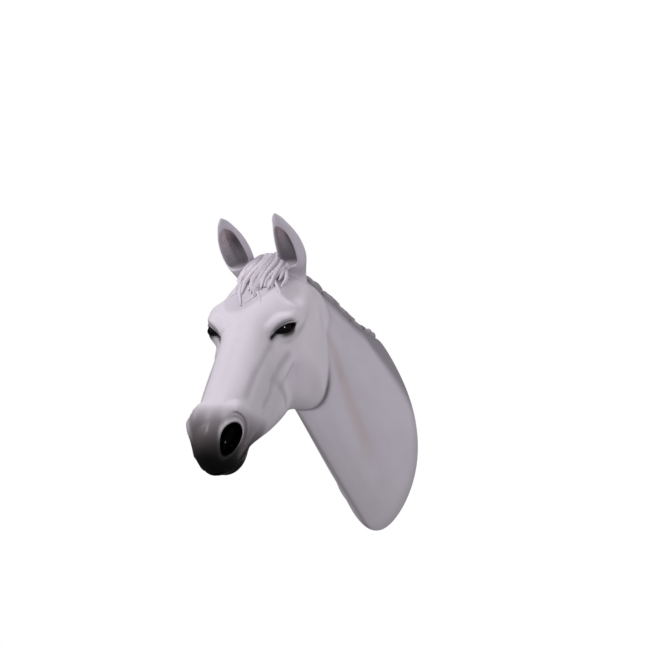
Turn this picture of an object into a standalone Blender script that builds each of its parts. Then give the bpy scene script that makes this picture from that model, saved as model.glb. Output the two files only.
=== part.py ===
"""Wall-hung horse head bust: two glass-fibre half shells with ears, hair and eyes bonded on,
a plywood back board screwed to blocks inside the rim, and two strap hangers with swinging D-rings.

Metres, +Z up.  The wall is the plane y = 0, the head looks towards -Y, its left side is +X.
Origin: centre of the back board's rear face.
"""
import bpy
import bmesh
import math
import numpy as np
import openvdb
from mathutils import Matrix, Vector

rad = math.radians

# ---- driving dimensions ------------------------------------------------------------------
SKIN = 0.005                     # glass-fibre wall
GAP = 0.0003                     # air between pieces that touch
POLL = (-0.010, 0.372, 0.402)    # x, distance from the wall, height of the point between the ears
HEAD_PITCH = rad(45)             # face line below level
HEAD_YAW = rad(25.5)             # head turned to its left
MESH = 0.013                     # sampling of the smooth skin
SNAP = 0.0035                    # skin corners nearer than this to the wall or the seam move onto it
SKIN_TRIANGLES = 2700            # outside of both halves together

EYE = (0.048, 0.212, -0.054)     # eyeball centre before it is set proud: side, along the face, above it
EYE_R = 0.0265
EYE_PROUD = 0.0055               # how far the ball stands out of the skin
EYE_OUT = (0.72, 0.49, 0.49)     # the way the eyes look, head coordinates

BOARD = 0.012                    # plywood thickness
BATTEN = (0.140, 0.020, 0.046)   # width, thickness, height of the hanger batten
HANG_Z = 0.104                   # height of the D-ring pivots
HANG_X = 0.042                   # left and right of centre
WINDOW = (0.036, 0.092)          # board cut-out around each hanger, width and height
WINDOW_DROP = 0.008              # cut-out centre below the pivot
WIRE_R = 0.002                   # D-ring wire
RING_WIDTH = 0.0125              # bar centre to side wire centre
RING_RISE = 0.020                # pivot to the top of the ring, wire centres
STRAP = (0.019, 0.0015, 0.046)   # strap width, thickness, length below the pivot
LOOP_IN, LOOP_OUT = 0.0023, 0.0038
BLOCK_ANGLES = (12, 75, 110, 168, 235, 305)
BLOCK_DEPTH, BLOCK_REACH, BLOCK_HALF = 0.030, 0.026, rad(9)
SCREW_R, SCREW_HEAD_R, SCREW_HEAD = 0.0019, 0.0040, 0.0027
SCREW_LENGTH = 0.030
HANGER_SCREW_LENGTH = 0.016

CP, SP = math.cos(HEAD_PITCH), math.sin(HEAD_PITCH)
CY, SY = math.cos(HEAD_YAW), math.sin(HEAD_YAW)

for ob in list(bpy.data.objects):
    bpy.data.objects.remove(ob)


# ---- head coordinates: side, along the face from the poll, above the face line ---------------
def to_head(w):
    x, fwd, z = w[..., 0] - POLL[0], -w[..., 1] - POLL[1], w[..., 2] - POLL[2]
    f, side = fwd * CY + x * SY, x * CY - fwd * SY
    return side, f * CP - z * SP, f * SP + z * CP


def from_head(side, u, v):
    f, z = u * CP + v * SP, -u * SP + v * CP
    fwd, x = f * CY - side * SY, f * SY + side * CY
    return np.array([x + POLL[0], -(fwd + POLL[1]), z + POLL[2]])


def level(side, fwd, up):
    """direction given as head side, level forward, up"""
    return np.array([fwd * SY + side * CY, -(fwd * CY - side * SY), up])


# ---- small field kit -------------------------------------------------------------------------
def curve(stations, values):
    """smooth curve through the stations"""
    xs, ys = np.array(stations, float), np.array(values, float)
    dx = np.diff(xs)
    d = np.diff(ys) / dx
    m = np.concatenate([[d[0]], (d[1:] * dx[:-1] + d[:-1] * dx[1:]) / (dx[:-1] + dx[1:]), [d[-1]]])

    def at(x):
        x = np.clip(x, xs[0], xs[-1])
        i = np.clip(np.searchsorted(xs, x) - 1, 0, len(xs) - 2)
        h = dx[i]
        t = (x - xs[i]) / h
        return ((2 * t**3 - 3 * t**2 + 1) * ys[i] + (t**3 - 2 * t**2 + t) * h * m[i]
                + (3 * t**2 - 2 * t**3) * ys[i + 1] + (t**3 - t**2) * h * m[i + 1])
    return at


def union(a, b, k):
    h = np.maximum(k - np.abs(a - b), 0) / k
    return np.minimum(a, b) - h * h * k * 0.25


def cut(a, b, k):
    return -union(-a, b, k)


def ellipsoid(p, centre, radii, turn=0.0, power=2.0):
    """turn tilts it in the median plane; a power above 2 gives a flatter face and tighter edge"""
    x, u, v = (p[i] - centre[i] for i in range(3))
    c, s = math.cos(turn), math.sin(turn)
    u, v = u * c + v * s, v * c - u * s
    a, b, e = radii
    disc = np.sqrt((u / b)**2 + (v / e)**2)
    k0 = (np.abs(x / a)**power + disc**power)**(1 / power)
    k1 = np.sqrt((x / a**2)**2 + (u / b**2)**2 + (v / e**2)**2) + 1e-9
    return (k0 - 1) * np.sqrt((x / a)**2 + disc**2) / k1


def capsule(p, a, b, ra, rb):
    pa = [p[i] - a[i] for i in range(3)]
    ba = [b[i] - a[i] for i in range(3)]
    t = np.clip(sum(q * w for q, w in zip(pa, ba)) / sum(w * w for w in ba), 0, 1)
    return np.sqrt(sum((q - w * t)**2 for q, w in zip(pa, ba))) - (ra + (rb - ra) * t)


def section(x, z, mid, half, top, middle, low, power):
    """distance-like value of a closed section with different widths at top, middle and bottom"""
    s = np.clip((z - mid) / half, -1.2, 1.2)
    w = middle + (top - low) / 2 * s + ((top + low) / 2 - middle) * s * s
    g = ((np.abs(x) / w)**power + (np.abs(z - mid) / half)**power)**(1 / power)
    return (g - 1) * np.minimum(w, half)


# ---- head ------------------------------------------------------------------------------------
U = (0.0, 0.06, 0.13, 0.20, 0.27, 0.34, 0.41, 0.47, 0.52, 0.56, 0.60)
TOP = curve(U, (-.020, -.002, .008, .009, .002, -.006, -.012, -.014, -.016, -.028, -.050))
LOW = curve(U, (-.150, -.226, -.276, -.288, -.274, -.246, -.208, -.178, -.158, -.144, -.126))
WIDE_TOP = curve(U, (.056, .064, .072, .065, .061, .064, .065, .059, .048, .038, .032))
WIDE_MID = curve(U, (.062, .074, .080, .078, .074, .070, .065, .058, .050, .046, .038))
WIDE_LOW = curve(U, (.044, .054, .060, .058, .050, .044, .040, .037, .038, .036, .028))
POWER = curve(U, (2.2, 2.4, 2.8, 3.0, 3.0, 2.7, 2.5, 2.4, 2.2, 2.1, 2.0))


def head(p):
    p = (np.abs(p[0]), p[1], p[2])
    x, u, v = p
    nose = np.clip((u - 0.525) / 0.080, 0, 1)
    back = np.clip((0.12 - u) / 0.155, 0, 1)
    cap = np.sqrt(np.maximum(1 - nose**2.2, 1e-4)) * np.sqrt(np.maximum(1 - back**2.2, 1e-4))
    mid, half = (TOP(u) + LOW(u)) / 2, (TOP(u) - LOW(u)) / 2 * cap
    d = section(x, v, mid, half, WIDE_TOP(u) * cap, WIDE_MID(u) * cap, WIDE_LOW(u) * cap, POWER(u))
    past = np.maximum(u - 0.604, 0) + np.maximum(-0.034 - u, 0)
    d = np.sqrt(np.maximum(d, 0)**2 + past**2) + np.minimum(d, 0)
    # cheek plate, then brow, orbit and the bar behind it, and the hollow above the eye
    d = union(d, ellipsoid(p, (0.060, 0.118, -0.190), (0.058, 0.142, 0.134), rad(-24), 2.8), 0.012)
    d = union(d, ellipsoid(p, (0.064, 0.192, -0.032), (0.035, 0.050, 0.028), rad(-12)), 0.044)
    d = union(d, ellipsoid(p, (0.054, 0.214, -0.066), (0.026, 0.042, 0.034), rad(-12)), 0.030)
    d = union(d, capsule(p, (0.088, 0.180, -0.046), (0.074, 0.075, -0.062), 0.015, 0.014), 0.040)
    d = cut(d, ellipsoid(p, (0.088, 0.124, -0.008), (0.018, 0.030, 0.020)), 0.034)
    # facial crest, nostril wing, upper lip, chin
    d = union(d, capsule(p, (0.076, 0.255, -0.100), (0.054, 0.345, -0.100), 0.014, 0.008), 0.034)
    d = union(d, ellipsoid(p, (0.036, 0.522, -0.054), (0.025, 0.050, 0.036), rad(-25)), 0.014)
    d = union(d, ellipsoid(p, (0.0, 0.560, -0.082), (0.041, 0.042, 0.052)), 0.016)
    d = union(d, ellipsoid(p, (0.0, 0.516, -0.140), (0.036, 0.046, 0.028)), 0.016)
    return cut(d, ellipsoid(p, (0.066, 0.545, -0.058), (0.020, 0.030, 0.018), rad(25)), 0.010)


# ---- neck ------------------------------------------------------------------------------------
FWD = (0.0, 0.08, 0.16, 0.24, 0.32, 0.40, 0.48)
CREST = curve(FWD, (0.231, 0.257, 0.304, 0.346, 0.378, 0.394, 0.380))
THROAT = curve(FWD, (-0.252, -0.166, -0.078, 0.010, 0.088, 0.172, 0.250))
NECK_TOP = curve(FWD, (.058, .042, .037, .040, .048, .048, .044))
NECK_MID = curve(FWD, (.134, .110, .092, .082, .074, .064, .052))
NECK_LOW = curve(FWD, (.112, .091, .073, .062, .057, .050, .040))
NECK_BEND = curve(FWD, (-0.005, -0.006, -0.008, -0.009, -0.006, 0.006, 0.028))


def neck(w):
    fwd, z = -w[..., 1], w[..., 2]
    mid, half = (CREST(fwd) + THROAT(fwd)) / 2, (CREST(fwd) - THROAT(fwd)) / 2
    return 0.9 * section(w[..., 0] - NECK_BEND(fwd), z, mid, half,
                         NECK_TOP(fwd), NECK_MID(fwd), NECK_LOW(fwd), 2.1)


def bust(w):
    """head and neck as one smooth body, still running on past the wall"""
    p = to_head(w)
    n = cut(neck(w), -0.020 - p[2], 0.030)       # the neck stays under the face
    n = np.maximum(n, -w[..., 1] - 0.44)
    k = 0.012 + 0.034 * np.clip((p[2] + 0.15) / 0.10, 0, 1)
    return union(head(p), n, k)


# ---- fields to meshes ------------------------------------------------------------------------
def settle(field, pts, level_value=0.0, rounds=6, most=0.004):
    """walk points along the gradient onto field = level_value"""
    e = 4e-4
    for _ in range(rounds):
        g = gradient(field, pts, e)
        move = (level_value - field(pts))[:, None] * g / np.maximum((g * g).sum(-1), 1e-2)[:, None]
        size = np.linalg.norm(move, axis=-1, keepdims=True)
        pts = pts + move * np.minimum(1, most / np.maximum(size, 1e-12))
    return pts


def gradient(field, pts, e=4e-4):
    return np.stack([field(pts + a) - field(pts - a) for a in np.eye(3) * e], -1) / (2 * e)


def mesh_of_field(field, low, high, h):
    """closed quad mesh of field < 0"""
    low, high = np.array(low, float), np.array(high, float)
    n = np.ceil((high - low) / h).astype(int)
    axes = [low[k] + (np.arange(n[k]) + 0.5) * h for k in range(3)]
    g = np.stack(np.meshgrid(*axes, indexing="ij"), -1)
    d = np.clip(field(g.reshape(-1, 3)), -3 * h, 3 * h).reshape(n).astype(np.float32)
    grid = openvdb.FloatGrid(3 * h)
    grid.copyFromArray(d)
    pts, quads = grid.convertToQuads(0.0)
    return low + (pts + 0.5) * h, quads[:, ::-1]


def reduced(pts, faces, triangles):
    """fewer triangles, kept where the form bends"""
    me = bpy.data.meshes.new("tmp")
    me.from_pydata([tuple(q) for q in pts], [], [tuple(f) for f in faces])
    ob = bpy.data.objects.new("tmp", me)
    bpy.context.scene.collection.objects.link(ob)
    count = sum(len(f) - 2 for f in faces)
    m = ob.modifiers.new("reduce", "DECIMATE")
    m.ratio = min(1.0, triangles / count)
    m.use_collapse_triangulate = True
    done = ob.evaluated_get(bpy.context.evaluated_depsgraph_get()).to_mesh()
    out = np.array([v.co[:] for v in done.vertices]), [tuple(q.vertices) for q in done.polygons]
    bpy.data.objects.remove(ob)
    bpy.data.meshes.remove(me)
    return out


def material(name, colour, rough, metal=0.0):
    m = bpy.data.materials.new(name)
    m.use_nodes = True
    b = m.node_tree.nodes["Principled BSDF"]
    b.inputs["Base Color"].default_value = (*colour, 1)
    b.inputs["Roughness"].default_value = rough
    b.inputs["Metallic"].default_value = metal
    return m


def add(name, pts, faces, look):
    """one named object with its own material, normals outward"""
    me = bpy.data.meshes.new(name)
    me.from_pydata([tuple(q) for q in pts], [], [tuple(int(i) for i in f) for f in faces])
    bm = bmesh.new()
    bm.from_mesh(me)
    bmesh.ops.recalc_face_normals(bm, faces=bm.faces)
    if bm.calc_volume(signed=True) < 0:
        bmesh.ops.reverse_faces(bm, faces=bm.faces)
    bm.to_mesh(me)
    bm.free()
    me.materials.append(material(name + "_mat", *look))
    ob = bpy.data.objects.new(name, me)
    bpy.context.scene.collection.objects.link(ob)
    return ob


def subtract(ob, tools, operation="DIFFERENCE"):
    """take the tools out of ob, then keep its largest body only"""
    for tool in tools:
        m = ob.modifiers.new("cut", "BOOLEAN")
        m.operation, m.solver, m.object = operation, "EXACT", tool
    done = bpy.data.meshes.new_from_object(ob.evaluated_get(bpy.context.evaluated_depsgraph_get()))
    ob.modifiers.clear()
    mats = list(ob.data.materials)
    ob.data = done
    done.materials.clear()
    done.materials.append(mats[0])
    bm = bmesh.new()
    bm.from_mesh(done)
    bmesh.ops.remove_doubles(bm, verts=bm.verts, dist=2e-6)
    bmesh.ops.dissolve_degenerate(bm, dist=2e-6, edges=bm.edges)
    bodies, left = [], set(bm.verts)
    while left:
        seed = left.pop()
        group, todo = {seed}, [seed]
        while todo:
            for e in todo.pop().link_edges:
                for q in e.verts:
                    if q in left:
                        left.discard(q)
                        group.add(q)
                        todo.append(q)
        bodies.append(group)
    bodies.sort(key=len, reverse=True)
    bmesh.ops.delete(bm, geom=[q for g in bodies[1:] for q in g], context="VERTS")
    for f in bm.faces:
        f.material_index = 0
    bm.to_mesh(done)
    bm.free()
    for tool in tools:
        bpy.data.objects.remove(tool)


# ---- the two half shells -----------------------------------------------------------------------
def bend(pts):
    """the parting surface is the middle of the neck, then the middle of the turned head"""
    fwd = -pts[:, 1] - POLL[1]
    return POLL[0] * np.clip(-pts[:, 1] / POLL[1], 0, 1) + SY / CY * np.maximum(fwd, 0)


def seam_direction(pts):
    """unit normal of the parting surface"""
    slope = np.where(-pts[:, 1] > POLL[1], SY / CY, POLL[0] / POLL[1])
    n = np.stack([np.ones(len(pts)), slope, np.zeros(len(pts))], -1)
    return n / np.linalg.norm(n, axis=1, keepdims=True)


pts, quads = mesh_of_field(bust, (-0.18, -0.80, -0.44), (0.24, 0.05, 0.46), MESH)
pts = settle(bust, pts)
pts, faces = reduced(pts, quads, SKIN_TRIANGLES * 1.12)
straight = pts.copy()
straight[:, 0] -= bend(pts)
me = bpy.data.meshes.new("skin")
me.from_pydata([tuple(q) for q in straight], [], faces)
bm = bmesh.new()
bm.from_mesh(me)
everything = bm.verts[:] + bm.edges[:] + bm.faces[:]
bmesh.ops.bisect_plane(bm, geom=everything, dist=SNAP, plane_co=(0, 0, 0), plane_no=(0, 1, 0),
                       clear_outer=True)
everything = bm.verts[:] + bm.edges[:] + bm.faces[:]
bmesh.ops.bisect_plane(bm, geom=everything, dist=SNAP, plane_co=(0, 0, 0), plane_no=(1, 0, 0))
bmesh.ops.triangulate(bm, faces=bm.faces)
bm.verts.index_update()
straight = np.array([q.co[:] for q in bm.verts])
triangles = np.array([[q.index for q in f.verts] for f in bm.faces])
bm.free()
bpy.data.meshes.remove(me)

on_wall = np.abs(straight[:, 1]) < SNAP * 1.01
on_seam = np.abs(straight[:, 0]) < SNAP * 1.01
straight[on_wall, 1] = 0.0
straight[on_seam, 0] = 0.0
outer = straight.copy()
outer[:, 0] += bend(straight)

# inside of the skin: one wall thickness in, staying in the wall plane and the parting surface
normal = gradient(bust, outer)
normal /= np.linalg.norm(normal, axis=1, keepdims=True)
way = normal.copy()
seam_n = seam_direction(outer)
way[on_seam] -= seam_n[on_seam] * (way[on_seam] * seam_n[on_seam]).sum(1)[:, None]
way[on_wall, 1] = 0.0
both = on_wall & on_seam
way[both, 0] = 0.0
way /= np.linalg.norm(way, axis=1, keepdims=True)
run = 1 / np.maximum((way * normal).sum(1), 0.4)
inner = outer - way * (SKIN * run)[:, None]
off = inner[:, 0] - bend(inner)
off = np.where(straight[:, 0] > 0, np.maximum(off, 0.001), np.minimum(off, -0.001))
off[on_seam] = 0.0
inner[:, 0] = bend(inner) + off


def half_shell(sign):
    """outside, inside and the rims between them as one closed body"""
    middle = straight[triangles].mean(1)[:, 0] * sign > 0
    tris = triangles[middle]
    shift = np.zeros_like(outer)
    shift[on_seam] = seam_n[on_seam] * sign * GAP / 2
    n = len(outer)
    edges = {}
    for t in tris:
        for a, b in ((t[0], t[1]), (t[1], t[2]), (t[2], t[0])):
            edges[(a, b)] = edges.get((a, b), 0) + 1
    rim = [(a, b) for (a, b) in edges if (b, a) not in edges]
    faces = [tuple(t) for t in tris] + [tuple(t[::-1] + n) for t in tris]
    for a, b in rim:                 # both halves split these the same way, so they match
        faces += [(b, a, a + n), (b, a + n, b + n)] if a < b else [(b, a, b + n), (a, a + n, b + n)]
    pts = np.concatenate([outer + shift, inner + shift])
    used = np.unique(np.array([i for f in faces for i in f]))
    renumber = {int(k): i for i, k in enumerate(used)}
    return pts[used], [tuple(renumber[int(i)] for i in f) for f in faces]


WHITE = ((0.70, 0.68, 0.71), 0.42)
shells = {"left": add("shell_left", *half_shell(1), WHITE),
          "right": add("shell_right", *half_shell(-1), WHITE)}


def solid(surface):
    """closed body bounded by the skin's triangles and carried on behind the wall plane"""
    bm = bmesh.new()
    verts = [bm.verts.new(q) for q in surface]
    for t in triangles:
        bm.faces.new([verts[i] for i in t])
    edges = [e for e in bm.edges if e.is_boundary]
    for q in [g for g in bmesh.ops.extrude_edge_only(bm, edges=edges)["geom"]
              if isinstance(g, bmesh.types.BMVert)]:
        q.co.y = 0.03
    bmesh.ops.holes_fill(bm, edges=[e for e in bm.edges if e.is_boundary], sides=0)
    bmesh.ops.triangulate(bm, faces=bm.faces)
    bmesh.ops.recalc_face_normals(bm, faces=bm.faces)
    me = bpy.data.meshes.new("tool")
    bm.to_mesh(me)
    bm.free()
    ob = bpy.data.objects.new("tool", me)
    bpy.context.scene.collection.objects.link(ob)
    return ob


def fit_to_skin(ob):
    wide = outer + normal * GAP * 1.5
    wide[on_wall, 1] = 0.0
    subtract(ob, [solid(wide)])


def fit_inside(ob):
    """keep what lies inside the hollow, a gap away from the skin's inner face"""
    small = inner - way * (0.0010 * run)[:, None]
    # carry the rim on a little past the wall plane, along the skin
    flat = normal[on_wall][:, [0, 2]]
    slope = normal[on_wall][:, 1] / (flat**2).sum(1)
    small[on_wall] += 0.002 * np.stack([-slope * flat[:, 0], np.ones(len(flat)), -slope * flat[:, 1]], -1)
    subtract(ob, [solid(small)], operation="INTERSECT")


# ---- eyes ----------------------------------------------------------------------------------------
def ball(centre, radius, rows, columns):
    pts = [centre + np.array([0, 0, radius])]
    for i in range(1, rows):
        a = math.pi * i / rows
        for j in range(columns):
            b = 2 * math.pi * j / columns
            pts.append(centre + radius * np.array([math.sin(a) * math.cos(b), math.sin(a) * math.sin(b),
                                                   math.cos(a)]))
    pts.append(centre - np.array([0, 0, radius]))
    faces = [(0, 1 + j, 1 + (j + 1) % columns) for j in range(columns)]
    for i in range(rows - 2):
        for j in range(columns):
            a, b = 1 + i * columns + j, 1 + i * columns + (j + 1) % columns
            faces += [(a, a + columns, b + columns), (a, b + columns, b)]
    last, n = len(pts) - 1, len(pts) - 1 - columns
    faces += [(last, n + (j + 1) % columns, n + j) for j in range(columns)]
    return pts, faces


def eye_centre(sign):
    """slide the ball outwards until it stands proud of the skin"""
    start, out = np.array(EYE), np.array(EYE_OUT) / np.linalg.norm(EYE_OUT)
    low, high = 0.0, 0.08
    for _ in range(30):
        mid = (low + high) / 2
        q = start + out * mid
        low, high = (mid, high) if head([np.array([k]) for k in q])[0] < 0 else (low, mid)
    q = start + out * (low + EYE_PROUD - EYE_R)
    return from_head(sign * q[0], q[1], q[2])


for side, sign in (("left", 1), ("right", -1)):
    centre = eye_centre(sign)
    tool = add("tool_eye", *ball(centre, EYE_R + GAP * 3, 12, 18), WHITE)
    subtract(shells[side], [tool])
    add("eye_" + side, *ball(centre, EYE_R, 12, 18), ((0.01, 0.008, 0.008), 0.06))


# ---- ears ----------------------------------------------------------------------------------------
# sign of the side, base in head coordinates, axis (side, level forward, up), turn of the opening
EARS = {"left": (1, (0.058, 0.022, -0.026), (-0.002, 0.112, 0.104), rad(32)),
        "right": (-1, (0.064, 0.022, -0.026), (0.030, 0.112, 0.098), rad(18))}
EAR_T = (-0.2, 0.0, 0.18, 0.40, 0.62, 0.82, 0.94, 1.0)
EAR_WIDE = curve(EAR_T, (0.022, 0.027, 0.033, 0.034, 0.029, 0.019, 0.011, 0.004))
EAR_DEEP = curve(EAR_T, (0.022, 0.026, 0.030, 0.027, 0.021, 0.013, 0.008, 0.004))


def ear_frame(name):
    sign, base, axis, turn = EARS[name]
    a = level(sign * axis[0], axis[1], axis[2])
    length = float(np.linalg.norm(a))
    a = a / length
    o = level(-sign * math.sin(turn), math.cos(turn), -0.8)
    o -= a * (o @ a)
    o /= np.linalg.norm(o)
    inward = np.cross(a, o)
    if inward @ level(-sign, 0, 0) < 0:
        inward = -inward
    return from_head(sign * base[0], base[1], base[2]), a, o, inward, length


def ear_field(name, wall=0.0055, solid_ear=False):
    base, a, o, inward, length = ear_frame(name)

    def field(w):
        q = w - base
        t = (q @ a) / length
        tc = np.clip(t, -0.2, 1)
        y = q @ o - (0.022 * (tc - 0.5)**2 - 0.0055)
        x = q @ inward - 0.012 * tc * tc
        wide, deep = EAR_WIDE(tc), EAR_DEEP(tc)
        d = (np.sqrt((x / wide)**2 + (y / deep)**2) - 1) * np.minimum(wide, deep)
        past = (np.maximum(t - 1, 0) + np.maximum(-0.2 - t, 0)) * length
        d = np.sqrt(np.maximum(d, 0)**2 + past**2) + np.minimum(d, 0)
        if solid_ear:
            return d
        iw, ideep = np.maximum(wide - wall, 1e-3), np.maximum(deep - wall, 1e-3)
        y = y - 0.2 * deep
        g = np.sqrt((x / iw)**2 + (np.minimum(y, 0) / ideep)**2 + (np.maximum(y, 0) / (3 * ideep))**2)
        hollow = (g - 1) * np.minimum(iw, ideep)
        hollow = np.maximum(np.maximum(hollow, (0.16 - t) * length), (t - 0.92) * length)
        return cut(d, hollow, 0.004)
    return field


for side in ("left", "right"):
    base, a, o, inward, length = ear_frame(side)
    middle = base + a * length / 2
    field = ear_field(side)
    ear_pts, ear_quads = mesh_of_field(field, middle - 0.11, middle + 0.11, 0.0034)
    ear_pts, ear_faces = reduced(ear_pts, ear_quads, 560)
    ear = add("ear_" + side, ear_pts, ear_faces, ((0.66, 0.63, 0.65), 0.45))
    fit_to_skin(ear)


# ---- forelock and mane -----------------------------------------------------------------------------
def lock(points, radii):
    """one tapering lock of hair through points"""
    def field(w):
        p = (w[..., 0], w[..., 1], w[..., 2])
        d = capsule(p, points[0], points[1], radii[0], radii[1])
        for a, b, ra, rb in zip(points[1:], points[2:], radii[1:], radii[2:]):
            d = union(d, capsule(p, a, b, ra, rb), 0.004)
        return d
    return field


def on_skin(pts, rise):
    pts = settle(bust, np.array(pts, float), 0.0, 30)
    g = gradient(bust, pts)
    return pts + g / np.linalg.norm(g, axis=1, keepdims=True) * rise


def many(fields, blend):
    def field(w):
        d = fields[0](w)
        for f in fields[1:]:
            d = union(d, f(w), blend)
        return d
    return field


def forelock_locks():
    locks = []
    for root, end, reach, sway in ((-0.022, -0.052, 0.120, 0.010), (-0.014, -0.036, 0.150, -0.010),
                                   (-0.006, -0.014, 0.165, 0.010), (0.004, 0.010, 0.170, -0.010),
                                   (0.012, 0.034, 0.150, 0.010), (0.020, 0.056, 0.120, -0.008)):
        s = np.linspace(0, 1, 8)
        line = [from_head(root + (end - root) * t + sway * math.sin(2 * math.pi * t),
                          0.000 + reach * t, 0.02) for t in s]
        locks.append(lock(on_skin(line, 0.001), 0.0105 - 0.006 * s))
    return locks


def mane_locks():
    locks = []
    for k in range(14):
        fwd = 0.345 - 0.0250 * k
        length = 0.105 + 0.012 * math.sin(2.4 * k)
        s = np.linspace(0, 1, 7)
        line = []
        for t in s:
            f = fwd - 0.050 * t + 0.006 * math.sin(2 * math.pi * t + k)
            f = max(f, 0.014)
            line.append((0.018 - 0.085 * t, -f, float(CREST(f)) + 0.012 - length * t * t))
        locks.append(lock(on_skin(line, 0.0015), 0.0120 - 0.006 * s))
    return locks


EAR_SOLIDS = [ear_field(side, solid_ear=True) for side in ("left", "right")]


def add_hair(name, locks, low, high, colour, limit, triangles):
    locks = many(locks, 0.010)

    def field(w):
        d = np.maximum(locks(w), limit(w))
        for ear_solid in EAR_SOLIDS:
            d = np.maximum(d, 0.003 - ear_solid(w))
        return d
    hair_pts, hair_quads = mesh_of_field(field, low, high, 0.0045)
    hair_pts, hair_faces = reduced(hair_pts, hair_quads, triangles)
    ob = add(name, hair_pts, hair_faces, (colour, 0.5))
    fit_to_skin(ob)


HAIR_SPLIT = POLL[1] - 0.004
add_hair("forelock", forelock_locks(), (-0.12, -0.56, 0.22), (0.12, -0.35, 0.45),
         (0.60, 0.58, 0.61), lambda w: w[..., 1] + HAIR_SPLIT + GAP, 800)
add_hair("mane", mane_locks(), (-0.16, -0.40, 0.05), (0.06, 0.0, 0.45),
         (0.30, 0.29, 0.32), lambda w: -w[..., 1] - HAIR_SPLIT + GAP, 1300)


# ---- back board, fixing blocks, batten ----------------------------------------------------------------
def outline(fwd, inset, angles):
    """points in the plane `fwd` from the wall, `inset` inside the skin's outer face"""
    out = []
    for a in angles:
        ray = np.array([math.cos(a), 0, math.sin(a)])
        low, high = 0.0, 0.40
        for _ in range(40):
            mid = (low + high) / 2
            q = np.array([[0.0, -fwd, 0.0]]) + ray * mid
            low, high = (mid, high) if bust(q)[0] < 0 else (low, mid)
        q = np.array([[0.0, -fwd, 0.0]]) + ray * low
        n = gradient(bust, q)[0]
        n /= np.linalg.norm(n)
        flat = np.array([n[0], 0, n[2]])
        size = np.linalg.norm(flat)
        out.append(q[0] - flat / size * (inset / size))
    return out


def loft(rings):
    """closed body through rings of equal length, ends capped with flat polygons"""
    n = len(rings[0])
    pts = [q for r in rings for q in r]
    faces = [tuple(range(n))[::-1], tuple(range((len(rings) - 1) * n, len(rings) * n))]
    for k in range(len(rings) - 1):
        for i in range(n):
            a, b = k * n + i, k * n + (i + 1) % n
            faces.append((a, b, b + n, a + n))
    return pts, faces


def box(centre, size):
    c, s = np.array(centre), np.array(size) / 2
    ring = [(-1, -1), (1, -1), (1, 1), (-1, 1)]
    return loft([[c + s * np.array([x, y, z]) for x, z in ring] for y in (1, -1)])


def turned(centre_x, centre_z, profile, count=20):
    """solid of revolution about a line along Y; profile = (y, radius) pairs"""
    rings = [[np.array([centre_x + r * math.cos(a), y, centre_z + r * math.sin(a)])
              for a in np.linspace(0, 2 * math.pi, count, endpoint=False)] for y, r in profile]
    return loft(rings)


def countersunk(x, z, face, length, grow=0.0):
    """screw with its flat head level with y = face, running towards -Y"""
    return turned(x, z, ((face + grow, SCREW_HEAD_R + grow), (face - 0.0004, SCREW_HEAD_R + grow),
                         (face - SCREW_HEAD, SCREW_R + grow), (face - length + 0.004, SCREW_R + grow),
                         (face - length - grow, 0.0006 + grow)), 16)


WOOD = ((0.55, 0.38, 0.22), 0.7)
STEEL = ((0.62, 0.62, 0.60), 0.35, 1.0)
round_angles = np.linspace(0, 2 * math.pi, 64, endpoint=False)
board = add("back_board", *loft([outline(fwd, 0.0, round_angles) for fwd in (0.0, BOARD)]),
            ((0.62, 0.47, 0.30), 0.75))
fit_inside(board)
board_front = -BOARD - GAP
batten = add("hanger_batten", *box((0, board_front - BATTEN[1] / 2, HANG_Z - 0.012), BATTEN), WOOD)

windows = [add("tool_window", *box((x, 0, HANG_Z - WINDOW_DROP), (WINDOW[0], 0.06, WINDOW[1])), WOOD)
           for x in (-HANG_X, HANG_X)]
screws = []
for k, degrees in enumerate(BLOCK_ANGLES, 1):
    a = rad(degrees)
    spread = np.linspace(a - BLOCK_HALF, a + BLOCK_HALF, 5)
    rings = []
    for fwd in (BOARD + GAP, BOARD + GAP + BLOCK_DEPTH):
        far = outline(fwd, 0.001, spread)
        near = [q - np.array([math.cos(a), 0, math.sin(a)]) * BLOCK_REACH for q in far[::-1]]
        rings.append(far + near)
    block = add(f"fixing_block_{k}", *loft(rings), WOOD)
    fit_inside(block)
    # the screw goes where both the board and the far end of the block have wood round it
    spot = min((outline(fwd, SKIN + BLOCK_REACH / 2, [a])[0] for fwd in (0.0, BOARD + BLOCK_DEPTH)),
               key=np.linalg.norm)
    screws.append((spot[0], spot[2]))
    subtract(block, [add("tool", *countersunk(spot[0], spot[2], -GAP, SCREW_LENGTH, GAP), WOOD)])
tools = [add("tool", *countersunk(x, z, -GAP, SCREW_LENGTH, GAP), WOOD) for x, z in screws]
subtract(board, windows + tools)
for k, (x, z) in enumerate(screws, 1):
    add(f"board_screw_{k}", *countersunk(x, z, -GAP, SCREW_LENGTH), STEEL)


# ---- strap hangers and D-rings --------------------------------------------------------------------------
def tube(path, radius, count=10):
    """round wire along a closed path"""
    rings, n = [], len(path)
    for i, q in enumerate(path):
        along = path[(i + 1) % n] - path[i - 1]
        along /= np.linalg.norm(along)
        out = np.array([0.0, 1.0, 0.0])
        out -= along * (out @ along)
        out /= np.linalg.norm(out)
        side = np.cross(along, out)
        rings.append([q + radius * (out * math.cos(b) + side * math.sin(b))
                      for b in np.linspace(0, 2 * math.pi, count, endpoint=False)])
    pts = [q for r in rings for q in r]
    faces = []
    for i in range(n):
        for j in range(count):
            a, b = i * count + j, i * count + (j + 1) % count
            c, d = ((i + 1) % n) * count + j, ((i + 1) % n) * count + (j + 1) % count
            faces.append((a, b, d, c))
    return pts, faces


strap_back = board_front + GAP                      # face of the strap against the batten
pivot_y = strap_back + LOOP_OUT
lean = math.asin((pivot_y - board_front - WIRE_R - GAP) / RING_RISE)


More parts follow.
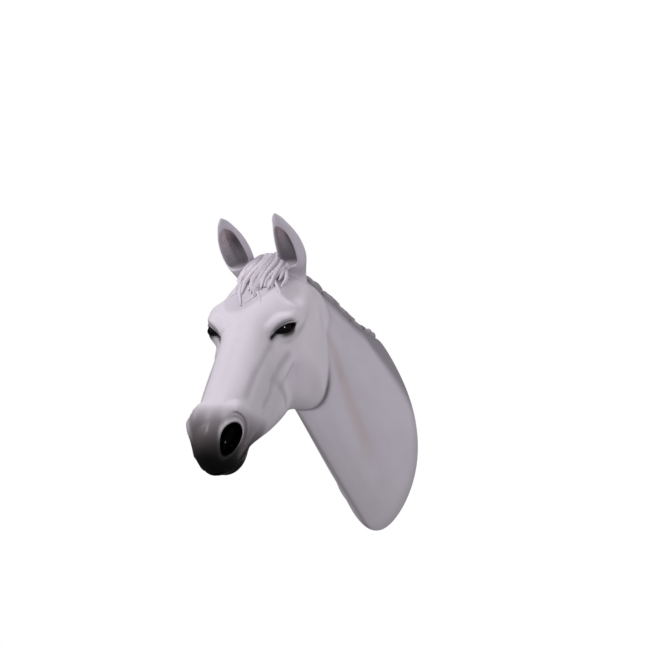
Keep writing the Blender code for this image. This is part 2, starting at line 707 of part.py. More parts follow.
def strap_outline():
    """side view of the folded strap as (y, z): flat tail with a rolled loop at the top"""
    t = STRAP[1]
    join = LOOP_OUT - t / 2
    turn_out = [(pivot_y + LOOP_OUT * math.cos(b), HANG_Z + LOOP_OUT * math.sin(b))
                for b in np.linspace(-rad(205) + math.pi, rad(180) + 0, 3)]
    outer_arc = [(pivot_y - LOOP_OUT * math.cos(b), HANG_Z + LOOP_OUT * math.sin(b))
                 for b in np.linspace(0, rad(300), 16)]
    inner_arc = [(pivot_y - LOOP_IN * math.cos(b), HANG_Z + LOOP_IN * math.sin(b))
                 for b in np.linspace(rad(300), 0, 16)]
    tail = HANG_Z - STRAP[2]
    return [(strap_back, tail)] + outer_arc + inner_arc + [(strap_back + t, tail)]


for side, sign in (("left", 1), ("right", -1)):
    cx = sign * HANG_X
    profile = strap_outline()
    rings = [[np.array([cx + dx, y, z]) for y, z in profile] for dx in (-STRAP[0] / 2, STRAP[0] / 2)]
    plate = add("hanger_plate_" + side, *loft(rings), STEEL)
    face = strap_back + STRAP[1]
    heights = (HANG_Z - 0.0125, HANG_Z - 0.034)
    holes = [add("tool", *turned(cx, z, ((face + 0.001, SCREW_R + GAP), (face - 0.02, SCREW_R + GAP)), 16),
                 STEEL) for z in heights]
    subtract(plate, holes)
    pilots = [add("tool", *turned(cx, z, ((face + 0.001, SCREW_R + GAP),
                                          (face - HANGER_SCREW_LENGTH - GAP, SCREW_R + GAP)), 16), STEEL)
              for z in heights]
    subtract(batten, pilots)
    for name, z in zip(("upper", "lower"), heights):
        add(f"hanger_screw_{side}_{name}",
            *turned(cx, z, ((face + GAP + 0.0016, 0.0024), (face + GAP + 0.0010, 0.0033),
                            (face + GAP, 0.0034), (face + GAP, SCREW_R),
                            (face - HANGER_SCREW_LENGTH + 0.003, SCREW_R),
                            (face - HANGER_SCREW_LENGTH, 0.0006)), 16), STEEL)
    # D-ring: straight bar through the loop, round bow above, leaning back on the batten
    bow = [np.array([-RING_WIDTH, 0, 0]), np.array([-RING_WIDTH * 0.5, 0, 0]), np.array([0, 0, 0.0]),
           np.array([RING_WIDTH * 0.5, 0, 0]), np.array([RING_WIDTH, 0, 0])]
    rise = RING_RISE - RING_WIDTH
    bow[0], bow[4] = np.array([-RING_WIDTH, 0, 0.0016]), np.array([RING_WIDTH, 0, 0.0016])
    bow[1], bow[3] = np.array([-RING_WIDTH + 0.0016, 0, 0]), np.array([RING_WIDTH - 0.0016, 0, 0])
    for b in np.linspace(0, math.pi, 15):
        bow.append(np.array([RING_WIDTH * math.cos(b), 0, rise + RING_WIDTH * math.sin(b)]))
    turn = Matrix.Rotation(lean, 3, "X")
    path = [np.array(turn @ Vector(q)) + np.array([cx, pivot_y, HANG_Z]) for q in bow]
    add("d_ring_" + side, *tube(path, WIRE_R), STEEL)
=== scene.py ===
"""Looks of the wall-hung horse head bust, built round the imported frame.

Metres, +Z up.  The wall is the plane y = 0, the head looks towards -Y, its left side is +X.
"""

from math import cos, exp, pi, radians as rad, sin

import bmesh
import bpy
import numpy as np
import openvdb
from mathutils import Matrix, Vector


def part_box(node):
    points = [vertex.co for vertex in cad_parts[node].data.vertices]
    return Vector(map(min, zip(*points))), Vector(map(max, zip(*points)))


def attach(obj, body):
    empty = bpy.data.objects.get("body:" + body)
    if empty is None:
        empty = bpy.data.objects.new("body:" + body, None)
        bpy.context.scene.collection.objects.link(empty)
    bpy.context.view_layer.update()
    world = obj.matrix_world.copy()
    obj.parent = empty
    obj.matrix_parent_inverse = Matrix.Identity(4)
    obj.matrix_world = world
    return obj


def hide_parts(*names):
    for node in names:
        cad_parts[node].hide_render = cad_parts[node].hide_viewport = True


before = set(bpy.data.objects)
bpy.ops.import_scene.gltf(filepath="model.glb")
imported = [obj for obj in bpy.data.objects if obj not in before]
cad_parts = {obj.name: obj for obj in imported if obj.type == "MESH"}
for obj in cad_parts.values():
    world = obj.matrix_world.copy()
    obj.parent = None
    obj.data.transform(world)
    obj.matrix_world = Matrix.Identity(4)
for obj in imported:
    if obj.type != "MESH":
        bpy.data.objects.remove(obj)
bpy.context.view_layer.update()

# ---- driving dimensions ----
SKIN = 0.005                     # glass-fibre wall
POLL = (-0.010, 0.372, 0.402)    # x, distance from the wall, height of the point between the ears
HEAD_PITCH = rad(45)             # face line below level
HEAD_YAW = rad(25.5)             # head turned to its left
FINE = 0.0026     # mesh of the skin
HAIR_FINE = 0.0017
INSIDE = 0.008                   # mesh of the inner face

CP, SP = cos(HEAD_PITCH), sin(HEAD_PITCH)
CY, SY = cos(HEAD_YAW), sin(HEAD_YAW)


def unit(v):
    v = np.array(v, float)
    return v / np.linalg.norm(v)


def unit_rows(v):
    return v / np.maximum(np.linalg.norm(v, axis=1, keepdims=True), 1e-9)


def square_to(axis, v):
    """the direction at right angles to the unit axis that is nearest v"""
    v = np.array(v, float)
    return unit(v - axis * (v @ axis))


# ---- head coordinates: side, along the face from the poll, above the face line ----
def to_head(w):
    x, fwd, z = w[..., 0] - POLL[0], -w[..., 1] - POLL[1], w[..., 2] - POLL[2]
    f, side = fwd * CY + x * SY, x * CY - fwd * SY
    return side, f * CP - z * SP, f * SP + z * CP


def from_head(side, u, v):
    f, z = u * CP + v * SP, -u * SP + v * CP
    fwd, x = f * CY - side * SY, f * SY + side * CY
    return np.array([x + POLL[0], -(fwd + POLL[1]), z + POLL[2]])


def level(side, fwd, up):
    """direction given as head side, level forward, up"""
    return np.array([fwd * SY + side * CY, -(fwd * CY - side * SY), up])


# ---- small field kit ----
def curve(stations, values):
    """smooth curve through the stations"""
    xs, ys = np.array(stations, float), np.array(values, float)
    dx = np.diff(xs)
    d = np.diff(ys) / dx
    m = np.concatenate([[d[0]], (d[1:] * dx[:-1] + d[:-1] * dx[1:]) / (dx[:-1] + dx[1:]), [d[-1]]])

    def at(x):
        x = np.clip(x, xs[0], xs[-1])
        i = np.clip(np.searchsorted(xs, x) - 1, 0, len(xs) - 2)
        h = dx[i]
        t = (x - xs[i]) / h
        return ((2 * t**3 - 3 * t**2 + 1) * ys[i] + (t**3 - 2 * t**2 + t) * h * m[i]
                + (3 * t**2 - 2 * t**3) * ys[i + 1] + (t**3 - t**2) * h * m[i + 1])
    return at


def union(a, b, k):
    h = np.maximum(k - np.abs(a - b), 0) / k
    return np.minimum(a, b) - h * h * k * 0.25


def cut(a, b, k):
    return -union(-a, b, k)


def capped(d, past):
    """ends a long form; past is the distance beyond its end"""
    return np.sqrt(np.maximum(d, 0)**2 + past**2) + np.minimum(d, 0)


def bump(x, width):
    return np.exp(-(x / width)**2)


def ramp(x, a, b):
    """0 at a, 1 at b, smooth"""
    t = np.clip((x - a) / (b - a), 0, 1)
    return t * t * (3 - 2 * t)


def ellipsoid(p, centre, radii, turn=0.0, power=2.0):
    """turn tilts it in the median plane; a power above 2 gives a flatter face and tighter edge"""
    x, u, v = (p[i] - centre[i] for i in range(3))
    c, s = cos(turn), sin(turn)
    u, v = u * c + v * s, v * c - u * s
    a, b, e = radii
    disc = np.sqrt((u / b)**2 + (v / e)**2)
    k0 = (np.abs(x / a)**power + disc**power)**(1 / power)
    k1 = np.sqrt((x / a**2)**2 + (u / b**2)**2 + (v / e**2)**2) + 1e-9
    return (k0 - 1) * np.sqrt((x / a)**2 + disc**2) / k1


def capsule(p, a, b, ra, rb):
    pa = [p[i] - a[i] for i in range(3)]
    ba = [b[i] - a[i] for i in range(3)]
    t = np.clip(sum(q * w for q, w in zip(pa, ba)) / sum(w * w for w in ba), 0, 1)
    return np.sqrt(sum((q - w * t)**2 for q, w in zip(pa, ba))) - (ra + (rb - ra) * t)


def distance(p, centre):
    return np.sqrt(sum((q - c)**2 for q, c in zip(p, centre)))


def line_distance(p, points):
    d = capsule(p, points[0], points[1], 0, 0)
    for a, b in zip(points[1:], points[2:]):
        d = np.minimum(d, capsule(p, a, b, 0, 0))
    return d


def section(x, z, mid, half, top, middle, low, power):
    """distance-like value of a closed section with different widths at top, middle and bottom"""
    s = np.clip((z - mid) / half, -1.2, 1.2)
    w = middle + (top - low) / 2 * s + ((top + low) / 2 - middle) * s * s
    g = ((np.abs(x) / w)**power + (np.abs(z - mid) / half)**power)**(1 / power)
    return (g - 1) * np.minimum(w, half)


def local(d, p, centre, reach, shape):
    """let shape(d, p) change d, but only where p is within reach of the centre"""
    near = distance(p, centre) < reach
    if near.any():
        d = d.copy()
        d[near] = shape(d[near], [q[near] for q in p])
    return d


# ---- head and neck, the same body as the frame's shells ----
U = (0.0, 0.06, 0.13, 0.20, 0.27, 0.34, 0.41, 0.47, 0.52, 0.56, 0.60)
TOP = curve(U, (-.020, -.002, .008, .009, .002, -.006, -.012, -.014, -.016, -.028, -.050))
LOW = curve(U, (-.150, -.226, -.276, -.288, -.274, -.246, -.208, -.178, -.158, -.144, -.126))
WIDE_TOP = curve(U, (.056, .064, .072, .065, .061, .064, .065, .059, .048, .038, .032))
WIDE_MID = curve(U, (.062, .074, .080, .078, .074, .070, .065, .058, .050, .046, .038))
WIDE_LOW = curve(U, (.044, .054, .060, .058, .050, .044, .040, .037, .038, .036, .028))
POWER = curve(U, (2.2, 2.4, 2.8, 3.0, 3.0, 2.7, 2.5, 2.4, 2.2, 2.1, 2.0))


def head(p):
    p = (np.abs(p[0]), p[1], p[2])
    x, u, v = p
    nose = np.clip((u - 0.525) / 0.080, 0, 1)
    back = np.clip((0.12 - u) / 0.155, 0, 1)
    cap = np.sqrt(np.maximum(1 - nose**2.2, 1e-4)) * np.sqrt(np.maximum(1 - back**2.2, 1e-4))
    mid, half = (TOP(u) + LOW(u)) / 2, (TOP(u) - LOW(u)) / 2 * cap
    d = section(x, v, mid, half, WIDE_TOP(u) * cap, WIDE_MID(u) * cap, WIDE_LOW(u) * cap, POWER(u))
    d = capped(d, np.maximum(u - 0.604, 0) + np.maximum(-0.034 - u, 0))
    # cheek plate, then brow, orbit and the bar behind it, and the hollow above the eye
    d = union(d, ellipsoid(p, (0.060, 0.118, -0.190), (0.058, 0.142, 0.134), rad(-24), 2.8), 0.012)
    d = union(d, ellipsoid(p, (0.064, 0.192, -0.032), (0.035, 0.050, 0.028), rad(-12)), 0.044)
    d = union(d, ellipsoid(p, (0.054, 0.214, -0.066), (0.026, 0.042, 0.034), rad(-12)), 0.030)
    d = union(d, capsule(p, (0.088, 0.180, -0.046), (0.074, 0.075, -0.062), 0.015, 0.014), 0.040)
    d = cut(d, ellipsoid(p, (0.088, 0.124, -0.008), (0.018, 0.030, 0.020)), 0.034)
    # facial crest, nostril wing, upper lip, chin
    d = union(d, capsule(p, (0.076, 0.255, -0.100), (0.054, 0.345, -0.100), 0.014, 0.008), 0.034)
    d = union(d, ellipsoid(p, (0.036, 0.522, -0.054), (0.025, 0.050, 0.036), rad(-25)), 0.014)
    d = union(d, ellipsoid(p, (0.0, 0.560, -0.082), (0.041, 0.042, 0.052)), 0.016)
    return union(d, ellipsoid(p, (0.0, 0.516, -0.140), (0.036, 0.046, 0.028)), 0.016)


FWD = (0.0, 0.08, 0.16, 0.24, 0.32, 0.40, 0.48)
CREST = curve(FWD, (0.231, 0.257, 0.304, 0.346, 0.378, 0.394, 0.380))
THROAT = curve(FWD, (-0.252, -0.166, -0.078, 0.010, 0.088, 0.172, 0.250))
NECK_TOP = curve(FWD, (.058, .042, .037, .040, .048, .048, .044))
NECK_MID = curve(FWD, (.134, .110, .092, .082, .074, .064, .052))
NECK_LOW = curve(FWD, (.112, .091, .073, .062, .057, .050, .040))
NECK_BEND = curve(FWD, (-0.005, -0.006, -0.008, -0.009, -0.006, 0.006, 0.028))


def neck(w):
    fwd, z = -w[..., 1], w[..., 2]
    mid, half = (CREST(fwd) + THROAT(fwd)) / 2, (CREST(fwd) - THROAT(fwd)) / 2
    return 0.9 * section(w[..., 0] - NECK_BEND(fwd), z, mid, half,
                         NECK_TOP(fwd), NECK_MID(fwd), NECK_LOW(fwd), 2.1)


def bust(w):
    """head and neck as one smooth body, still running on past the wall"""
    p = to_head(w)
    n = cut(neck(w), -0.020 - p[2], 0.030)       # the neck stays under the face
    n = np.maximum(n, -w[..., 1] - 0.44)
    k = 0.012 + 0.034 * np.clip((p[2] + 0.15) / 0.10, 0, 1)
    return union(head(p), n, k)


# ---- ears ----
# sign of the side, base in head coordinates, axis (side, level forward, up), turn of the opening
EARS = {"left": (1, (0.058, 0.022, -0.026), (-0.002, 0.112, 0.104), rad(27)),
        "right": (-1, (0.064, 0.022, -0.026), (0.030, 0.112, 0.098), rad(18))}
BOWL_SHIFT = {"left": 0.0008, "right": 0.0030}      # away from the midline
EAR_WALL = {"left": 0.0098, "right": 0.0076}
EAR_SHADE = {"left": -1, "right": 1}                # the side of the bowl that gets painted shade
EAR_T = (-0.2, 0.0, 0.18, 0.40, 0.62, 0.82, 0.94, 1.0)
EAR_WIDE = curve(EAR_T, (0.022, 0.027, 0.033, 0.034, 0.029, 0.019, 0.011, 0.004))
EAR_DEEP = curve(EAR_T, (0.022, 0.026, 0.030, 0.027, 0.021, 0.013, 0.008, 0.004))


def ear_frame(name):
    sign, base, axis, turn = EARS[name]
    a = level(sign * axis[0], axis[1], axis[2])
    length = float(np.linalg.norm(a))
    a = a / length
    o = square_to(a, level(-sign * sin(turn), cos(turn), -0.8))
    inward = np.cross(a, o)
    if inward @ level(-sign, 0, 0) < 0:
        inward = -inward
    return from_head(sign * base[0], base[1], base[2]), a, o, inward, length


EAR_FRAMES = {name: ear_frame(name) for name in EARS}


def ear_places(w, name):
    """along the ear 0..1, across it inwards, out of the opening; bent as the ear is"""
    base, a, o, inward, length = EAR_FRAMES[name]
    q = w - base
    t = (q @ a) / length
    tc = np.clip(t, -0.2, 1)
    return t, tc, q @ inward - 0.012 * tc * tc, q @ o - (0.022 * (tc - 0.5)**2 - 0.0055)


def ear(w, name, whole=False):
    length = EAR_FRAMES[name][4]
    t, tc, x, y = ear_places(w, name)
    wide, deep = EAR_WIDE(tc), EAR_DEEP(tc)
    d = (np.sqrt((x / wide)**2 + (y / deep)**2) - 1) * np.minimum(wide, deep)
    d = capped(d, (np.maximum(t - 1, 0) + np.maximum(-0.2 - t, 0)) * length)
    if whole:
        return d
    wall = EAR_WALL[name] - 0.0012 * np.clip(tc, 0, 1)
    x = x + BOWL_SHIFT[name] * ramp(tc, 0.95, 0.5)
    iw, ideep = np.maximum(wide - wall, 2e-3), np.maximum(deep - wall, 2e-3)
    y = y - 0.2 * deep
    g = np.sqrt((x / iw)**2 + (np.minimum(y, 0) / ideep)**2 + (np.maximum(y, 0) / (3 * ideep))**2)
    hollow = (g - 1) * np.minimum(iw, ideep)
    hollow = cut(hollow, (t - 0.17) * length, 0.012)
    hollow = cut(hollow, (0.93 - t) * length * 0.36, 0.016)
    # two soft folds run up inside
    for place, lean in ((-0.32, 0.10), (0.34, -0.06)):
        hollow = hollow + 0.0022 * bump(x / iw - place - lean * tc, 0.16) * ramp(tc, 0.12, 0.3) \
            * ramp(tc, 0.86, 0.6) * (y < 0.3 * deep)
    return cut(d, hollow, 0.0050)


# ---- eyes, nostrils, mouth and the soft relief of the face ----
eye_low, eye_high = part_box("eye_left")
eye_low, eye_high = np.array(eye_low), np.array(eye_high)
EYE = np.array([float(q) for q in to_head((eye_low + eye_high) / 2)])
EYE_R = float((eye_high - eye_low).max() / 2)
EYE_OUT = unit((0.72, 0.49, 0.49))
EYE_LONG = square_to(EYE_OUT, (0.60, -0.78, -0.10))
EYE_UP = np.cross(EYE_LONG, EYE_OUT)
if EYE_UP[2] < 0:
    EYE_UP = -EYE_UP
LID = 0.0042                     # lid thickness
EYE_HALF, EYE_ARCH, EYE_SAG = 0.0270, 0.0068, 0.0080
LID_FOLDS = ((0.0056, 0.0015, 0.95), (0.0098, 0.0009, 0.55))     # place above the slit, depth, weight of the painted shade in the fold

# centre, the way it faces and its long direction; the right one is drawn in, away from the turn
NOSTRILS = {1: ((0.0415, 0.562, -0.0475), (0.67, 0.57, 0.46), (-0.22, 0.75, -0.62)),
            -1: ((0.0500, 0.548, -0.0600), (0.90, 0.28, 0.33), (-0.05, 0.80, -0.60))}
NOSTRIL_LONG, NOSTRIL_WIDE, NOSTRIL_DEEP = 0.0335, 0.0198, 0.026     # half length, half width, depth


def along(p, centre, axes):
    q = [p[i] - centre[i] for i in range(3)]
    return [sum(c * e for c, e in zip(q, axis)) for axis in axes]


def almond(a, b, half, up, down):
    """flat almond outline: corners at +-half, arched up and down"""
    ru, rd = (half * half + up * up) / (2 * up), (half * half + down * down) / (2 * down)
    du = np.sqrt(a * a + (b + ru - up)**2) - ru
    dd = np.sqrt(a * a + (b - rd + down)**2) - rd
    return cut(du, -dd, 0.0045)


def eye_places(p):
    out, a, b = along(p, EYE, (EYE_OUT, EYE_LONG, EYE_UP))
    b = b + 0.0022 * np.sin(a / 0.017)           # the slit is a slack S, lower towards the nose
    return out, a, b


def eye_relief(d, p):
    out, a, b = eye_places(p)
    ball = distance(p, EYE)
    lid = np.maximum(ball - (EYE_R + LID), -out)
    d = union(d, lid, 0.012)
    # brow ledge over the eye
    inner, over, outer = (-0.030, 0.0120, 0.0130), (0.002, 0.0190, 0.0225), (0.034, 0.0125, 0.0140)
    ledge = np.minimum(capsule((a, b, out), inner, over, 0.0040, 0.0075),
                       capsule((a, b, out), over, outer, 0.0075, 0.0045))
    d = union(d, ledge, 0.016)
    leaf = almond(a, b, EYE_HALF, EYE_ARCH, EYE_SAG)
    rim = np.maximum(np.sqrt(leaf**2 + (ball - EYE_R - LID + 0.0010)**2) - 0.0027, -out)
    d = union(d, rim, 0.0025)
    # folds above the upper lid and one below the lower
    upper, lower = ramp(b, -0.002, 0.006), ramp(b, -0.002, -0.008)
    for far, depth, _ in LID_FOLDS:
        d = d + depth * bump(leaf - far - 0.05 * a, 0.0017) * upper * ramp(a, 0.036, 0.016)
    d = d + 0.0009 * bump(leaf - 0.0075, 0.0020) * lower
    # tear duct running down from the inner corner
    duct = line_distance((a, b, 0 * a), ((-0.026, -0.0015, 0), (-0.037, -0.0055, 0)))
    d = d + 0.0022 * bump(duct, 0.0028) * (out > 0)
    opening = np.maximum(leaf + 0.0008, 0.0135 - out)
    d = cut(d, opening, 0.0016)
    return cut(d, np.maximum(ball - EYE_R - 0.0004, 0.0135 - out), 0.0010)


def nostril_axes(side):
    centre, out, long = NOSTRILS[side]
    out = unit(out)
    long = square_to(out, long)
    return np.array(centre), out, long, np.cross(out, long)


def nostril_places(p, side):
    centre, *axes = nostril_axes(side)
    out, a, b = along(p, centre, axes)
    b = b - 0.10 * a                              # egg shape, wider at the top
    wide = NOSTRIL_WIDE * (1 - 4.0 * np.clip(a, -0.04, 0.04))
    leaf = (np.sqrt((a / NOSTRIL_LONG)**2 + (b / wide)**2) - 1) * NOSTRIL_WIDE
    return out, a, b, wide, leaf


def nostril_hole(p, side, grow=0.0):
    out, a, b, wide, _ = nostril_places(p, side)
    k = np.sqrt((a / (NOSTRIL_LONG + grow))**2 + (b / (wide + grow))**2 + (out / (NOSTRIL_DEEP + grow))**2)
    return (k - 1) * (NOSTRIL_WIDE + grow)


WRINKLE_SIDE = 1 if nostril_axes(1)[3][0] > 0 else -1


def wrinkles(b, leaf):
    """where the wrinkles fan out beside the nostril, and their wave"""
    fan = ramp(leaf, 0.006, 0.010) * ramp(leaf, 0.027, 0.016) * ramp(b * WRINKLE_SIDE, -0.016, 0.0)
    return fan, np.cos((leaf - 0.0095) * 2 * pi / 0.0062)


def nostril_relief(d, p, side):
    _, a, b, _, leaf = nostril_places(p, side)
    top = ramp(a, 0.012, -0.022)
    d = union(d, np.sqrt(leaf**2 + d**2) - 0.0016 - 0.0016 * top, 0.007)
    fan, wave = wrinkles(b, leaf)
    return cut(d - 0.0010 * wave * top * fan, nostril_hole(p, side), 0.004)


MOUTH = curve((0.44, 0.50, 0.55, 0.62), (-0.128, -0.128, -0.118, -0.102))


def mouth_relief(d, p):
    x, u, v = p
    s = v - MOUTH(u)
    behind = ramp(u, 0.455, 0.480)
    d = d - 0.0016 * bump(s - 0.0065, 0.0045) * behind - 0.0016 * bump(s + 0.0065, 0.0045) * behind
    slit = np.maximum(np.maximum(np.abs(s) - 0.0009, 0.462 - u), -(d + 0.0060))
    return cut(d, slit, 0.0032)


# lines in head coordinates: points, width, depth (negative stands out)
LINES = (
    (((.061, .272, -.038), (.055, .334, -.037), (.051, .386, -.034), (.049, .459, -.037)), .0085, .0014),
    (((.089, .253, -.082), (.077, .300, -.080), (.071, .353, -.080), (.069, .381, -.093),
      (.065, .429, -.087)), .0085, .0016),
    (((.071, .353, -.080), (.070, .313, -.147), (.065, .301, -.183), (.057, .287, -.217)), .0100, .0020),
    (((.064, .300, -.055), (.060, .352, -.056), (.056, .410, -.060), (.052, .470, -.060)), .0130, -.0014),
    (((.065, .423, -.094), (.068, .399, -.096), (.069, .388, -.104)), .0024, .0015),
    (((.064, .437, -.103), (.067, .412, -.108), (.068, .400, -.117)), .0024, .0013),
    (((.062, .448, -.118), (.065, .430, -.124), (.066, .420, -.134)), .0026, .0012),
    (((.066, .338, -.120), (.069, .372, -.122), (.067, .400, -.112)), .0040, -.0012),
    (((.020, .300, .010), (.020, .420, .000), (.018, .500, -.006)), .0130, -.0010),
)


def face_lines(d, p):
    for points, width, depth in LINES:
        low = np.min(points, 0) - 2.5 * width
        high = np.max(points, 0) + 2.5 * width
        near = np.ones(d.shape, bool)
        for q, a, b in zip(p, low, high):
            near &= (q > a) & (q < b)
        if near.any():
            d = d.copy()
            q = [c[near] for c in p]
            ends = ramp(q[1], low[1] + 1.2 * width, low[1] + 4.5 * width) \
                * ramp(q[1], high[1] - 1.2 * width, high[1] - 4.5 * width)
            d[near] += depth * bump(line_distance(q, points), width) * ends
    return d


JUGULAR = ((.088, -.347, .311), (.080, -.308, .282), (.084, -.250, .193), (.080, -.190, .067),
           (.074, -.130, -.027), (.062, -.070, -.123))


def neck_relief(d, w):
    """soft groove and muscle bands down both sides of the neck"""
    x = np.abs(w[..., 0] - NECK_BEND(-w[..., 1]))
    q = (x, w[..., 1], w[..., 2])
    far = line_distance((0 * x, w[..., 1], w[..., 2]), [(0, b, c) for _, b, c in JUGULAR])
    side = ramp(x, 0.03, 0.06) * ramp(-w[..., 1], 0.01, 0.07)
    d = d + 0.0028 * bump(far, 0.013) * side - 0.0022 * bump(far - 0.042, 0.022) * side
    fold = np.sin((w[..., 2] + 0.45 * w[..., 1]) / 0.034)
    return d - 0.0007 * fold * side


def skin(w):
    d = bust(w)
    p = to_head(w)
    p = (np.abs(p[0]), p[1], p[2])
    on_neck = p[2] < -0.10
    if on_neck.any():
        d = d.copy()
        share = ramp(p[2][on_neck], -0.10, -0.14)
        d[on_neck] = neck_relief(d[on_neck], w[on_neck]) * share + d[on_neck] * (1 - share)
    d = face_lines(d, p)
    d = local(d, p, (0.0, 0.540, -0.110), 0.110, mouth_relief)
    side_of = np.where(to_head(w)[0] > 0, 1, -1)
    for side in NOSTRILS:
        here = side_of == side
        if here.any():
            d = d.copy()
            d[here] = local(d[here], [q[here] for q in p], nostril_axes(side)[0], 0.062,
                            lambda e, q, side=side: nostril_relief(e, q, side))
    d = local(d, p, tuple(EYE + EYE_OUT * 0.01), 0.062, eye_relief)
    for name, (base, a, _, _, length) in EAR_FRAMES.items():
        centre = base + a * length * 0.42
        d = local(d, [w[..., k] for k in range(3)], tuple(centre), 0.105,
                  lambda e, q, name=name: union(e, ear(np.stack(q, -1), name), 0.014))
    return d


# ---- fields to meshes ----
def gradient(field, pts, e=4e-4):
    return np.stack([field(pts + a) - field(pts - a) for a in np.eye(3) * e], -1) / (2 * e)


def settle(field, pts, rounds=4, most=0.004):
    """walk points along the gradient onto field = 0"""
    for _ in range(rounds):
        g = gradient(field, pts)
        move = -field(pts)[:, None] * g / np.maximum((g * g).sum(-1), 0.2)[:, None]
        size = np.linalg.norm(move, axis=-1, keepdims=True)
        pts = pts + move * np.minimum(1, most / np.maximum(size, 1e-12))
    return pts


def mesh_of_field(field, low, high, h, coarse=6, slack=2.4):
    """closed quad mesh of field < 0, sampled finely only near the surface"""
    low, high = np.array(low, float), np.array(high, float)
    big = h * coarse
    n = np.ceil((high - low) / big).astype(int)
    axes = [low[k] + (np.arange(n[k]) + 0.5) * big for k in range(3)]
    g = np.stack(np.meshgrid(*axes, indexing="ij"), -1)
    d = field(g.reshape(-1, 3)).reshape(n)
    near = np.argwhere(np.abs(d) < big * slack)
    dense = np.where(d > 0, 3 * h, -3 * h).astype(np.float32)
    for axis in range(3):
        dense = np.repeat(dense, coarse, axis)
    sub = np.stack(np.meshgrid(*[np.arange(coarse)] * 3, indexing="ij"), -1).reshape(-1, 3)
    index = (near[:, None, :] * coarse + sub[None]).reshape(-1, 3)
    batch = 400000
    for i in range(0, len(index), batch):
        j = index[i:i + batch]
        dense[j[:, 0], j[:, 1], j[:, 2]] = np.clip(field(low + (j + 0.5) * h), -3 * h, 3 * h)
    grid = openvdb.FloatGrid(3 * h)
    grid.copyFromArray(dense)
    pts, quads = grid.convertToQuads(0.0)
    return low + (pts + 0.5) * h, quads


def add(name, data):
    ob = bpy.data.objects.new(name, data)
    bpy.context.scene.collection.objects.link(ob)
    return ob


def piece(name, pts, faces, normals, replaces):
    """one named object that rides on the bust in place of frame nodes"""
    me = bpy.data.meshes.new(name)
    me.from_pydata([tuple(q) for q in pts], [], [tuple(int(i) for i in f) for f in faces])
    me.shade_smooth()
    me.normals_split_custom_set_from_vertices([tuple(q) for q in normals])
    ob = add(name, me)
    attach(ob, "bust")
    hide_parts(*replaces)
    return ob


# ---- skin of both halves: fine outside, plain inside, flat rims ----
def bend(pts):
    """the parting surface is the middle of the neck, then the middle of the turned head"""
    fwd = -pts[:, 1] - POLL[1]
    return POLL[0] * np.clip(-pts[:, 1] / POLL[1], 0, 1) + SY / CY * np.maximum(fwd, 0)


def seam_direction(pts):
    slope = np.where(-pts[:, 1] > POLL[1], SY / CY, POLL[0] / POLL[1])
    return unit_rows(np.stack([np.ones(len(pts)), slope, np.zeros(len(pts))], -1))


def detail_region(pts):
    """where the skin gets a finer mesh: eyes, nostrils, mouth corners and ears"""
    x, u, v = to_head(pts)
    found = np.zeros(len(pts), bool)
    for centre, reach in ((EYE + EYE_OUT * 0.01, 0.046), (nostril_axes(1)[0], 0.046),
                          (nostril_axes(-1)[0], 0.046), ((.066, .405, -.110), 0.030)):
        found |= distance((np.abs(x), u, v), centre) < reach
    for base, a, _, _, length in EAR_FRAMES.values():
        along_ear = (pts - base) @ a / length
        away = np.linalg.norm(pts - base - np.outer(along_ear * length, a), axis=1)
        found |= (along_ear > 0.04) & (along_ear < 1.1) & (away < 0.05)
    return found


def open_skin(pts, quads, refine):
    """cut at the wall and along the parting surface; returns points, faces, seam and wall flags"""
    me = bpy.data.meshes.new("tmp")
    me.from_pydata([tuple(q) for q in pts], [], [tuple(q) for q in quads])
    bm = bmesh.new()
    bm.from_mesh(me)
    bpy.data.meshes.remove(me)
    if refine:
        wanted = detail_region(pts)
        bm.verts.ensure_lookup_table()
        edges = [e for e in bm.edges if wanted[e.verts[0].index] and wanted[e.verts[1].index]]
        bmesh.ops.subdivide_edges(bm, edges=edges, cuts=1, use_grid_fill=True)
        bm.verts.index_update()
        pts = np.array([q.co[:] for q in bm.verts])
        changed = detail_region(pts)
        pts[changed] = settle(skin, pts[changed], 3)
    straight = pts.copy()
    straight[:, 0] -= bend(pts)
    for vert, place in zip(bm.verts, straight):
        vert.co = place
    near = 0.12 * FINE
    for normal, clear in (((0, 1, 0), True), ((1, 0, 0), False)):
        everything = bm.verts[:] + bm.edges[:] + bm.faces[:]
        bmesh.ops.bisect_plane(bm, geom=everything, dist=near, plane_co=(0, 0, 0), plane_no=normal,
                               clear_outer=clear)
    bm.verts.index_update()
    straight = np.array([q.co[:] for q in bm.verts])
    faces = [[q.index for q in f.verts] for f in bm.faces]
    bm.free()
    wall, seam = np.abs(straight[:, 1]) < near * 1.01, np.abs(straight[:, 0]) < near * 1.01
    straight[wall, 1] = 0.0
    straight[seam, 0] = 0.0
    out = straight.copy()
    out[:, 0] += bend(straight)
    return out, faces, straight, seam, wall


def chains(faces, pts, seam, wall):
    """the open edge of a half as two runs from its upper to its lower corner: seam, wall"""
    edges = set()
    for f in faces:
        for a, b in zip(f, f[1:] + f[:1]):
            if (b, a) in edges:
                edges.discard((b, a))
            else:
                edges.add((a, b))
    follow = dict(edges)
    corners = sorted((i for i in follow if seam[i] and wall[i]), key=lambda i: -pts[i, 2])
    top, low = corners[0], corners[-1]
    runs = []
    for start, end in ((top, low), (low, top)):
        run = [start]
        while run[-1] != end:
            run.append(follow[run[-1]])
        runs.append(run)
    runs[1] = runs[1][::-1]
    runs.sort(key=lambda run: -seam[run].mean())
    return runs


